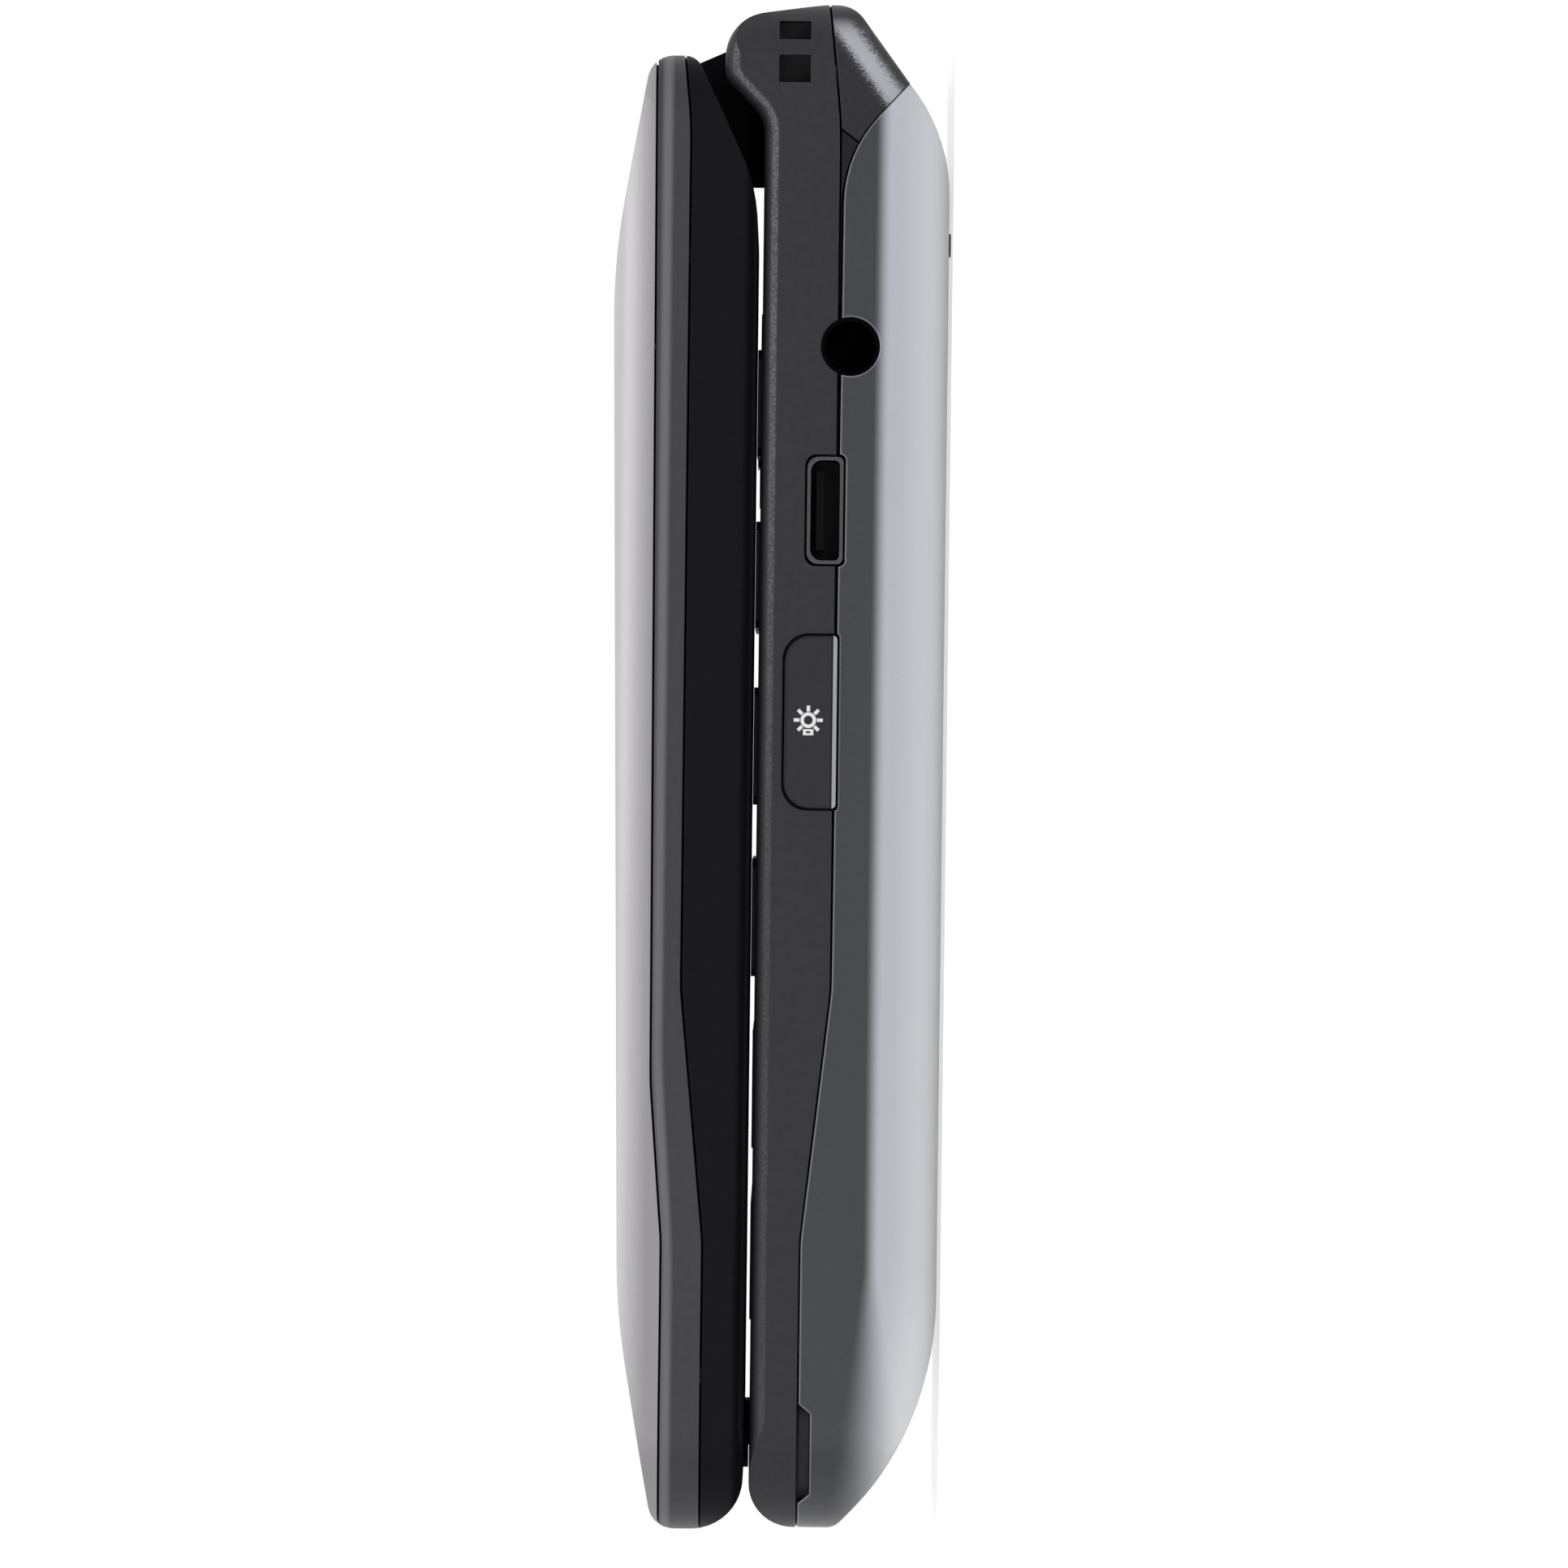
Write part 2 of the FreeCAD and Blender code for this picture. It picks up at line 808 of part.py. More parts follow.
def hexagons(name, radius, spots, low, high):
    """Upright six-sided rods, for the screws and their holes."""
    made = []
    for i, (x, y) in enumerate(spots):
        rod_six = doc.addObject("Part::Prism", f"{name}_{i}")
        bind(rod_six, "Circumradius", radius)
        bind(rod_six, "Height", high - low)
        place(rod_six, x, y, low)
        made.append(rod_six)
    return made


def screws(label, spots, seat, tip):
    """Group of hexagon-head screws with their heads below the seat that they clamp."""
    pieces = hexagons(label + "_head", d.screw_head_radius, spots, seat - d.screw_head, seat)
    pieces += hexagons(label + "_shank", d.screw_radius, spots, seat, tip)
    return node(fuse(label + "_group", *pieces), label)


deck_under = d.deck_height - d.wall
boss_foot = d.tray_high + d.fit_gap
boss_spots = corner_spots(d.boss_x, d.boss_low_y, d.boss_high_y)
base_screw_tip = deck_under - room
screw_hole_radius = d.screw_radius + d.pin_seat_gap
base_screw_holes = hexagons(
    "base_screw_hole", screw_hole_radius, boss_spots, below, base_screw_tip + d.fit_gap
)
screws("base_screws", boss_spots, d.screw_seat, base_screw_tip)


# Keypad: rows of keys that drop through slots in the deck, each with a flange behind it

key_foot = deck_under - d.key_play - d.key_flange_thick
key_shoulder = deck_under - d.key_play
row_pitch = (d.menu_row - d.last_row) / 5
number_length = row_pitch - d.number_row_gap
menu_length = row_pitch - d.menu_row_gap
number_width = (2 * d.key_field - 2 * d.column_gap) / 3
column_pitch = number_width + d.column_gap
ring_radius = row_pitch * d.ring_share
centre_radius = ring_radius / 2
soft_width = d.key_field - ring_radius - d.ring_gap
soft_x = d.key_field - soft_width / 2
key_openings = []


def key(label, x, y, width, length, rise):
    span_x = about(x, width)
    span_y = about(y, length)
    top = d.deck_height + rise
    cap = prism(label + "_cap", "XY", trimmed(span_x, span_y, d.key_trim), key_foot, top)
    flange = box(label + "_flange", span_x, grown(span_y, d.key_flange), (key_foot, key_shoulder))
    node(fuse(label + "_whole", cap, flange), label)


def key_slot(name, span_x, y, length):
    corners = trimmed(grown(span_x, d.key_gap), grown(about(y, length), d.key_gap), d.key_trim)
    key_openings.append(prism(name, "XY", corners, deck_under - d.fit_gap, above))


def key_row(labels, y, length, rise):
    for column, label in zip((-1, 0, 1), labels):
        key(label, column * column_pitch, y, number_width, length, rise)
    key_slot(labels[0] + "_row_slot", (-d.key_field, d.key_field), y, length)


NUMBER_KEYS = [
    ["key_1", "key_2", "key_3"],
    ["key_4", "key_5", "key_6"],
    ["key_7", "key_8", "key_9"],
    ["key_star", "key_0", "key_hash"],
]
key_row(["call_key", "clear_key", "end_key"], d.menu_row - row_pitch, menu_length, d.key_rise)
for row, labels in enumerate(NUMBER_KEYS):
    rise = d.key_rise if row < 2 else d.key_rise_low
    key_row(labels, d.menu_row - (row + 2) * row_pitch, number_length, rise)
for side, label in zip((-1, 1), ("left_soft_key", "right_soft_key")):
    key(label, side * soft_x, d.menu_row, soft_width, menu_length, d.key_rise)
    key_slot(label + "_slot", about(side * soft_x, soft_width), d.menu_row, menu_length)

# round navigation key with a separate key in its middle
ring_middle = (as_size(0), d.menu_row)


def disc(name, radius, low, high):
    return rod(name, "z", radius, (*ring_middle, low), high - low)


ring_flange_side = 2 * (ring_radius + d.key_flange)
ring_blank = fuse(
    "ring_blank",
    disc("ring_cap", ring_radius, key_foot, d.deck_height + d.key_rise_low),
    box(
        "ring_flange",
        centred(ring_flange_side),
        about(d.menu_row, ring_flange_side),
        (key_foot, key_shoulder),
    ),
)
ring_hole = disc("ring_hole", centre_radius + d.key_gap, below, above)
node(cut("ring_whole", ring_blank, ring_hole), "navigation_ring")
node(disc("centre_cap", centre_radius, key_foot, d.deck_height + d.key_rise), "centre_key")
key_openings.append(disc("ring_opening", ring_radius + d.key_gap, deck_under - d.fit_gap, above))


# Base front shell: deck, side walls and the two outer hinge barrels

strap_slots = [
    box(name, (half_width - d.strap_depth, end), span, (d.strap_low, d.strap_high))
    for name, end, span in (
        ("strap_slot_near", outside, (d.strap_near, d.strap_near_end)),
        ("strap_slot_far", outside, (d.strap_far_start, d.strap_far)),
        ("strap_channel", half_width - d.strap_bar, (d.strap_near, d.strap_far)),
    )
]
mic_opening = rod("mic_opening", "z", d.mic_hole, (0, d.mic_y, deck_under - d.fit_gap), 2 * d.wall)
front_skin = cut("front_skin", common("front_slice", base_outer, front_above), base_inner)
bosses = [
    box(
        f"boss_{i}",
        about(x, 2 * d.boss_radius),
        about(y, 2 * d.boss_radius),
        (boss_foot, deck_under + d.fit_gap),
    )
    for i, (x, y) in enumerate(boss_spots)
]
node(
    cut(
        "front_shell",
        fuse("front_with_bosses", front_skin, *bosses),
        hinge_room,
        barrel_bore,
        rocker_opening,
        mic_opening,
        *strap_slots,
        *wall_openings,
        *key_openings,
        *base_screw_holes,
    ),
    "base_front_shell",
)


# Top cap over the antenna, notched in the middle for the lid's neck

antenna_span = about(d.antenna_y, d.antenna_length)
antenna_pocket = box(
    "antenna_pocket",
    grown(centred(2 * d.antenna_half), d.fit_gap),
    grown(antenna_span, d.fit_gap),
    (d.antenna_low - d.fit_gap, above),
)
cap_block = prism(
    "cap_block",
    "YZ",
    [(cap_foot[0], below), (reach, below), (reach, above), (cap_head[0], above), cap_head, cap_foot],
    -half_width,
    half_width,
)
cap_slice = common("cap_slice", base_outer, cap_block)
node(
    cut("cap", cap_slice, cover_below, front_above_gap, hinge_room, antenna_pocket),
    "top_cap",
)
node(
    box("antenna_strip", centred(2 * d.antenna_half), antenna_span, (d.antenna_low, d.antenna_high)),
    "antenna",
)


# Rear frame: a tray inside the base, with a wedge that shows beside the cap

wedge_block = prism(
    "wedge_block",
    "YZ",
    [
        (d.wedge_start, cap_foot[1]),
        (cap_foot[0] - d.seam_gap, cap_foot[1]),
        (cap_head[0] - d.seam_gap, cap_head[1]),
        (d.wedge_start, cap_head[1]),
    ],
    -half_width,
    half_width,
)
wedge = cut("wedge", common("wedge_slice", base_outer, wedge_block), cover_below, front_above_gap)
tray_block = common(
    "tray_block",
    base_form("tray_form", d.wall + d.tray_gap),
    box("tray_limit", (-half_width, half_width), (-reach, d.tray_end), (d.tray_low, d.tray_high)),
)
battery_span = (d.battery_low_end, d.battery_high_end)
contact_span = (d.battery_high_end + d.fit_gap, d.battery_high_end + d.fit_gap + d.contact_length)
tray_half = wall_inside - d.tray_gap
motor_start = d.motor_boss_gap - d.boss_x
motor_span = (motor_start, motor_start + d.motor_length)
sim_span = (about(as_size(0), d.sim_width), about(d.sim_y, d.sim_length))
tray_pockets = [
    box(
        "battery_bay",
        grown(centred(2 * d.battery_half), d.fit_gap),
        grown(battery_span, d.fit_gap),
        (below, d.tray_floor),
    ),
    box(
        "contact_bay",
        grown(centred(d.contact_width), d.fit_gap),
        grown(contact_span, d.fit_gap),
        (below, d.tray_floor),
    ),
    box(
        "module_bay",
        (-d.module_left, d.lamp_x + d.module_lamp_gap),
        (d.module_low_end, d.module_high_end),
        (below, d.tray_floor),
    ),
    box(
        "board_bay",
        centred(2 * (tray_half - d.tray_rim)),
        (d.board_low_end + d.tray_rim, d.board_high_end - d.tray_rim),
        (d.tray_floor + d.tray_floor_thick, above),
    ),
    box(
        "sim_bay",
        grown(sim_span[0], d.fit_gap),
        grown(sim_span[1], d.fit_gap),
        (below, d.tray_floor + d.sim_thick),
    ),
    box(
        "motor_bay",
        grown(motor_span, d.fit_gap),
        grown((d.motor_y, d.motor_y), d.motor_radius + d.fit_gap),
        (d.motor_z - d.motor_radius - d.fit_gap, above),
    ),
]
screw_bay_radius = d.screw_head_radius + d.fit_gap
head_bays = hexagons("screw_head_bay", screw_bay_radius, boss_spots, below, d.screw_seat)
node(
    cut(
        "frame",
        fuse("frame_blank", tray_block, wedge),
        *tray_pockets,
        *inner_rooms,
        *head_bays,
        *base_screw_holes,
    ),
    "rear_frame",
)


# Battery cover: the back and lower sides, with a nail notch, lens holes and speaker slots

module_low = back + d.wall + room
notch = prism(
    "nail_notch",
    "YZ",
    [
        (d.notch_end, d.seam_free_height),
        (d.notch_end + d.notch_depth, d.seam_free_height - d.notch_depth - d.seam_gap),
        (d.notch_start - d.notch_depth, d.seam_free_height - d.notch_depth - d.seam_gap),
        (d.notch_start, d.seam_free_height),
    ],
    half_width - d.corner_free,
    outside,
)


def through_back(name, radius, x):
    return rod(name, "z", radius, (x, d.camera_y, below), module_low - below)


speaker_span = (d.speaker_margin - d.module_left, -d.speaker_inner)
grille = [
    box(
        f"speaker_slot_{i}",
        grown(speaker_span, -d.speaker_margin),
        about(d.camera_y + (i - 1.5) * d.grille_pitch, d.grille_slot),
        (below, module_low),
    )
    for i in range(4)
]


def nubs(name, low, high):
    made = []
    for side in (-1, 1):
        corners = trimmed(about(side * d.nub_x, d.nub_width), about(d.nub_y, d.nub_length), d.nub_trim)
        made.append(prism(f"{name}_{side}", "XY", corners, low, high))
    return made


nub_root = back + d.wall / 2
node(
    cut(
        "cover",
        common("cover_slice", base_outer, cover_below_gap),
        base_inner,
        notch,
        through_back("camera_hole", d.camera_radius, as_size(0)),
        through_back("lamp_hole", d.lamp_radius, d.lamp_x),
        *grille,
        *nubs("nub_pocket", below, nub_root),
        *wall_openings,
    ),
    "battery_cover",
)
node(fuse("nub_pair", *nubs("nub", as_size(0), nub_root)), "rest_nubs")


# Pieces inside the base

board_low = d.tray_high + d.fit_gap
board_top = board_low + d.board_thick
battery_rise = (d.battery_bottom, d.battery_bottom + d.battery_thick)
node(box("battery_pack", centred(2 * d.battery_half), battery_span, battery_rise), "battery")
contact_blades = [
    box(
        f"contact_blade_{i}",
        about(i * d.contact_width / 3, d.contact_width / 8),
        (contact_span[0] - d.fit_gap / 2, contact_span[0]),
        (d.tray_floor - d.contact_thick, d.tray_floor - d.contact_thick / 2),
    )
    for i in (-1, 0, 1)
]
contact_block = box(
    "contact_block", centred(d.contact_width), contact_span, (d.tray_floor - d.contact_thick, d.tray_floor)
)
node(fuse("contact_set", contact_block, *contact_blades), "battery_contacts")
board_blank = box(
    "board_blank", centred(2 * d.board_half), (d.board_low_end, d.board_high_end), (board_low, board_top)
)
node(cut("board", board_blank, *inner_rooms), "main_board")
node(
    box(
        "dome_sheet",
        centred(2 * (d.board_half - d.button_lip - d.torch_travel)),
        (d.board_low_end + d.tray_rim, d.board_high_end - d.tray_rim),
        (board_top, board_top + d.sheet_thick),
    ),
    "key_dome_sheet",
)
shield_spans = [
    ("shield_lower", (d.board_low_end + d.shield_margin, -d.shield_margin)),
    ("shield_upper", (d.shield_margin, d.jack_y - d.shield_margin)),
]
shields = [
    box(name, centred(2 * d.shield_half), span, (board_low - d.can_height, board_low))
    for name, span in shield_spans
]
node(fuse("shield_pair", *shields), "shield_cans")
node(
    box("sim_tray", sim_span[0], sim_span[1], (d.tray_floor, d.tray_floor + d.sim_thick)),
    "sim_holder",
)
node(
    rod("motor_can", "x", d.motor_radius, (motor_span[0], d.motor_y, d.motor_z), d.motor_length),
    "vibration_motor",
)
node(
    rod("mic_can", "z", d.mic_radius, (0, d.mic_y, deck_under - d.key_play - d.mic_height), d.mic_height),
    "microphone",
)
module_top = d.tray_floor - d.fit_gap / 2
camera_box = box(
    "camera_box", centred(d.camera_size), about(d.camera_y, d.camera_size), (module_low, module_top)
)
lens_face = back + d.fit_gap
camera_lens = rod(
    "camera_lens", "z", d.camera_radius - d.fit_gap, (0, d.camera_y, lens_face), module_low - lens_face
)
node(fuse("camera", camera_box, camera_lens), "camera_module")
lamp_top = module_top - d.lamp_height
lens_length = lamp_top - room - lens_face
node(
    rod("lamp_guide", "z", d.lamp_radius - d.fit_gap, (d.lamp_x, d.camera_y, lens_face), lens_length),
    "torch_lens",
)
node(
    box("lamp", about(d.lamp_x, d.lamp_size), about(d.camera_y, d.lamp_size), (lamp_top, module_top)),
    "torch_lamp",
)
node(
    box(
        "speaker_box",
        speaker_span,
        about(d.camera_y, d.speaker_length),
        (module_top - d.speaker_thick, module_top),
    ),
    "loudspeaker",
)


# Sockets in the right-hand wall

usb_outer = prism("usb_outer", "YZ", usb_outline(as_size(0)), usb_back, usb_front)
usb_hollow = prism("usb_hollow", "YZ", usb_outline(-d.usb_sheet), usb_back + d.usb_sheet, outside)
node(cut("usb_can", usb_outer, usb_hollow), "usb_socket")
node(
    box(
        "usb_blade",
        (usb_back + d.usb_sheet, usb_front - d.usb_tongue_recess),
        about(d.usb_y, d.usb_tongue_width),
        about(d.usb_z + d.usb_tongue_lift, d.usb_tongue_thick),
    ),
    "usb_tongue",
)
jack_can = rod("jack_can", "x", d.jack_body_radius, (jack_back, d.jack_y, d.jack_z), jack_length)
jack_bore = rod(
    "jack_bore", "x", d.jack_bore_radius, (jack_back + d.jack_floor, d.jack_y, d.jack_z), jack_length
)
node(cut("jack", jack_can, jack_bore), "headset_jack")


# Buttons in the side walls, each with a flange behind the wall and a switch behind that

flange_front = wall_inside - d.fit_gap
flange_back = flange_front - d.button_lip
flange_rise = (d.torch_bottom + room, deck_under - room)
torch_face = prism("torch_face", "YZ", torch_outline(as_size(0)), flange_back, half_width + d.button_proud)
torch_flange = box(
    "torch_flange",
    (flange_back, flange_front),
    grown((d.torch_low, d.torch_high), d.button_flange),
    flange_rise,
)
node(fuse("torch_whole", torch_face, torch_flange), "torch_button")
switch_rise = (board_low - d.switch_drop, board_top - d.fit_gap)
torch_middle = (d.torch_low + d.torch_high) / 2
node(
    box("torch_contact", (switch_back, switch_front), about(torch_middle, d.switch_width), switch_rise),
    "torch_switch",
)
rocker_front = flange_front - d.rocker_gap
rocker_back = rocker_front - d.button_lip
rocker_face = prism(
    "rocker_face",
    "YZ",
    rectangle(rocker_span, rocker_rise, d.rocker_height / 2 - d.button_edge),
    -half_width - d.button_proud,
    -rocker_back,
)
rocker_flange = box(
    "rocker_flange",
    (-rocker_front, -rocker_back),
    grown(rocker_span, d.button_flange),
    (rocker_rise[0] - d.button_flange / 2, rocker_rise[1]),
)
rocker_pivot = rod(
    "rocker_pivot",
    "z",
    d.rocker_pivot_radius,
    (-rocker_back, d.rocker_y, rocker_rise[0]),
    d.rocker_height,
)
node(fuse("rocker_whole", rocker_face, rocker_flange, rocker_pivot), "volume_rocker")
node(
    fuse(
        "rocker_contacts",
        *[
            box(
                f"rocker_contact_{side}",
                (-rocker_back + d.rocker_gap + d.fit_gap, -switch_back),
                about(d.rocker_y + side * d.rocker_length / 3, d.switch_width),
                switch_rise,
            )
            for side in (-1, 1)
        ],
    ),
    "volume_switches",
)


# Hinge: a spring cartridge on one side and a hollow sleeve for the ribbon cable on the other

pin_length = d.pin_outer_end - d.pin_inner_end
node(
    rod("cartridge", "x", d.pin_radius, (d.pin_inner_end, d.axis_y, d.axis_z), pin_length),
    "hinge_cartridge",
)
sleeve_can = rod("sleeve_can", "x", d.pin_radius, (-d.pin_outer_end, d.axis_y, d.axis_z), pin_length)
sleeve_bore = rod("sleeve_bore", "x", d.sleeve_bore_radius, (-outside, d.axis_y, d.axis_z), outside)
node(cut("sleeve", sleeve_can, sleeve_bore), "hinge_sleeve")


# Lid: one outer form split into a front panel, an outer shell and an inner shell

def lid_form():
    side = [
        (-half_length, lid_face, d.lid_free_radius),
        (d.lid_chamfer_start, lid_face, d.lid_chamfer_radius),
        (d.lid_hinge_end, d.lid_chamfer_top, d.lid_heel_radius),
        (d.lid_hinge_end, d.lid_hinge_height, d.lid_tip_radius),
        (d.lid_crest_at, d.lid_crest, d.lid_face_radius),
        (d.lid_knee_at, d.lid_knee_height, d.lid_face_radius),
        (-half_length, d.lid_free_height, d.lid_tip_radius),
    ]
    section = [
        (-half_width, lid_face, d.lid_inner_radius),
        (half_width, lid_face, d.lid_inner_radius),
        (half_width, d.lid_crest, d.lid_edge_radius),
        (-half_width, d.lid_crest, d.lid_edge_radius),
    ]
    return form("lid_outer", side, plan_outline(-half_length, d.lid_hinge_end, as_size(0)), section)


lid_outer = lid_form()


def above_lid_seam(name, shift):
    corners = [
        (-reach, d.lid_seam_free_height + shift),
        (d.seam_step_end, d.lid_seam_free_height + shift, d.seam_radius),
        (d.seam_step_start, d.lid_seam_height + shift, d.seam_radius),
        (d.seam_rise_start, d.lid_seam_height + shift, d.seam_rise_radius),
        (reach, d.lid_seam_height + d.seam_rise + shift),
        (reach, above),
        (-reach, above),
    ]
    return prism(name, "YZ", corners, -half_width, half_width)


def above_panel_seam(name, shift):
    corners = [
        (-reach, d.panel_seam_free_height + shift),
        (d.seam_step_end, d.panel_seam_free_height + shift, d.seam_radius),
        (d.panel_seam_knee, d.panel_seam_height + shift, d.seam_rise_radius),
        (reach, d.panel_seam_hinge + shift),
        (reach, above),
        (-reach, above),
    ]
    return prism(name, "YZ", corners, -half_width, half_width)


lid_over = above_lid_seam("lid_over", as_size(0))
lid_over_gap = above_lid_seam("lid_over_gap", -d.seam_gap)
panel_over = above_panel_seam("panel_over", as_size(0))
panel_over_gap = above_panel_seam("panel_over_gap", -d.seam_gap)

# hollows shared by the lid's shells
window_span = (d.window_low_end, d.window_high_end)
view_span = (d.view_low_end, d.view_high_end)
display_span = grown(view_span, d.display_rim)
lid_bay = box(
    "lid_bay",
    grown(centred(2 * d.display_half), d.fit_gap),
    grown(display_span, d.fit_gap),
    (d.display_floor - d.fit_gap, d.lid_bay_top),
)
small_view = (centred(d.small_view_width), about(d.small_view_y, d.small_view_length))
small_bay = box(
    "small_bay",
    grown(small_view[0], d.display_rim),
    grown(small_view[1], d.display_rim),
    (lid_face, above),
)
window_top = lid_face + d.window_thick + d.fit_gap


def window_plate(name, margin, low, high):
    return prism(
        name,
        "XY",
        rectangle(grown(centred(2 * d.window_half), margin), grown(window_span, margin), d.window_corner),
        low,
        high,
    )


def small_window(name, margin):
    return prism(
        name,
        "XY",
        rectangle(
            grown(centred(d.small_window_width), margin),
            grown(about(d.small_view_y, d.small_window_length), margin),
            d.window_corner,
        ),
        d.small_window_floor - margin,
        above,
    )


earpiece_span = about(d.earpiece_y, d.earpiece_length)
earpiece_floor = window_top
earpiece_bay = box(
    "earpiece_bay",
    grown(centred(d.earpiece_width), d.fit_gap),
    grown(earpiece_span, d.fit_gap),
    (earpiece_floor, earpiece_floor + d.earpiece_thick + d.fit_gap),
)
earpiece_slot = box(
    "earpiece_slot",
    centred(d.earpiece_width - d.earpiece_slot),
    about(d.earpiece_y, d.earpiece_slot),
    (below, earpiece_floor),
)
magnet_low = lid_face + d.wall
magnet_bay = rod(
    "magnet_bay",
    "z",
    d.magnet_radius + d.fit_gap,
    (d.magnet_x, d.magnet_y, magnet_low),
    d.magnet_thick + d.fit_gap,
)
lid_screw_spots = corner_spots(d.lid_screw_x, d.lid_screw_low_y, d.lid_screw_high_y)
lid_screw_seat = lid_face + d.screw_head + d.fit_gap
lid_screw_holes = hexagons(
    "lid_screw_hole", screw_hole_radius, lid_screw_spots, below, d.lid_screw_reach + d.fit_gap
)
lid_head_bays = hexagons("lid_head_bay", screw_bay_radius, lid_screw_spots, below, lid_screw_seat)
screws("lid_screws", lid_screw_spots, lid_screw_seat, d.lid_screw_reach)


def bumpers(name, low, high):
    made = []
    for side in (-1, 1):
        span = about(side * d.bumper_x, d.bumper_width)
        corners = trimmed(span, (d.bumper_low, d.bumper_high), d.bumper_trim)
        made.append(prism(f"{name}_{side}", "XY", corners, low, high))
    return made


# Inner shell, with the neck and knuckle that carry the lid on the hinge

knuckle = rod(
    "knuckle", "x", d.knuckle_radius, (-d.knuckle_half, d.axis_y, d.axis_z), d.knuckle_half * 2
)
knuckle_bore = rod(
    "knuckle_bore", "x", d.pin_radius + d.pin_running_gap, (-outside, d.axis_y, d.axis_z), outside * 2
)
neck = prism(
    "neck",
    "YZ",
    [
        (d.axis_y, d.axis_z),
        along_axis(d.knuckle_radius, d.neck_tangent, as_size(0)),
        along_axis(d.knuckle_radius, d.neck_tangent, d.neck_length),
        (d.axis_y - d.knuckle_radius, d.neck_root),
        (d.axis_y - d.knuckle_radius, d.axis_z),
    ],
    -d.knuckle_half,
    d.knuckle_half,
)
chin_end = d.axis_y - d.knuckle_radius + d.chin_gap
chin = prism(
    "chin",
    "YZ",
    [
        (d.chin_start, chin_low),
        (chin_end, chin_low),
        (chin_end, d.neck_root),
        (d.chin_start, lid_face + d.chin_root),
    ],
    -d.knuckle_half,
    d.knuckle_half,
)
inner_slice = cut("inner_slice", lid_outer, lid_over_gap)
view_opening = box("view_opening", centred(2 * d.view_half), view_span, (below, d.display_floor))
node(
    cut(
        "inner_shell",
        fuse("inner_with_neck", inner_slice, neck, chin, knuckle),
        knuckle_bore,
        lid_bay,
        view_opening,
        window_plate("window_recess", d.fit_gap, below, window_top),
        earpiece_bay,
        earpiece_slot,
        magnet_bay,
        *bumpers("bumper_pocket", below, lid_face + d.bumper_root),
        *lid_screw_holes,
        *lid_head_bays,
    ),
    "lid_inner_shell",
)
node(
    cut(
        "outer_shell",
        common("outer_slice", lid_outer, lid_over),
        panel_over_gap,
        lid_bay,
        small_bay,
        earpiece_bay,
        magnet_bay,
        *lid_screw_holes,
    ),
    "lid_outer_shell",
)
small_opening = box("small_opening", *small_view, (below, above))
panel_hollow = box(
    "panel_hollow",
    centred(2 * d.window_half),
    (d.window_low_end, d.window_high_end),
    (below, d.panel_hollow_top),
)
node(
    cut(
        "front_panel",
        common("panel_slice", lid_outer, panel_over),
        panel_hollow,
        small_window("small_window_recess", d.fit_gap),
        small_opening,
    ),
    "lid_front_panel",
)


# Pieces in the lid

window_low = lid_face + d.window_recess
node(window_plate("window", as_size(0), window_low, window_low + d.window_thick), "main_window")
display_top = d.display_floor + d.display_thick
node(
    box("display_stack", centred(2 * d.display_half), display_span, (d.display_floor, display_top)),
    "main_display",
)
lid_board_low = display_top + d.fit_gap
node(
    box(
        "lid_circuit",
        centred(2 * d.display_half),
        display_span,
        (lid_board_low, lid_board_low + d.lid_board_thick),
    ),
    "lid_board",
)
small_display_low = lid_board_low + d.lid_board_thick + d.fit_gap
node(
    box(
        "small_display_stack",
        grown(small_view[0], d.display_rim - d.fit_gap),
        grown(small_view[1], d.display_rim - d.fit_gap),
        (small_display_low, small_display_low + d.small_display_thick),
    ),
    "small_display",
)
node(common("small_window_cap", lid_outer, small_window("small_window_block", as_size(0))), "small_window")
node(
    box(
        "earpiece_can",
        centred(d.earpiece_width),
        earpiece_span,
        (earpiece_floor + d.fit_gap, earpiece_floor + d.earpiece_thick),
    ),
    "earpiece",
)
node(
    rod("magnet_disc", "z", d.magnet_radius, (d.magnet_x, d.magnet_y, magnet_low), d.magnet_thick),
    "lid_magnet",
)
bumper_pair = bumpers("bumper", d.deck_height + d.bumper_air, lid_face + d.bumper_root)
node(fuse("bumper_pair", *bumper_pair), "lid_bumpers")


# Check every object, then write each piece to its own file

doc.recompute()
faults = [thing.Name for thing in doc.Objects if {"Invalid", "Error"} & set(thing.State)]
faults += [piece.Label for piece in NODES if piece.Shape.isNull() or not piece.Shape.isValid()]
if faults:
    raise RuntimeError("not built: " + ", ".join(faults))
os.makedirs("parts", exist_ok=True)
for piece in NODES:
    piece.Shape.exportStep(f"parts/{piece.Label}.step")
print(len(NODES), "pieces written")
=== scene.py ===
import json
import math

import bmesh
import bpy
from mathutils import Matrix, Vector


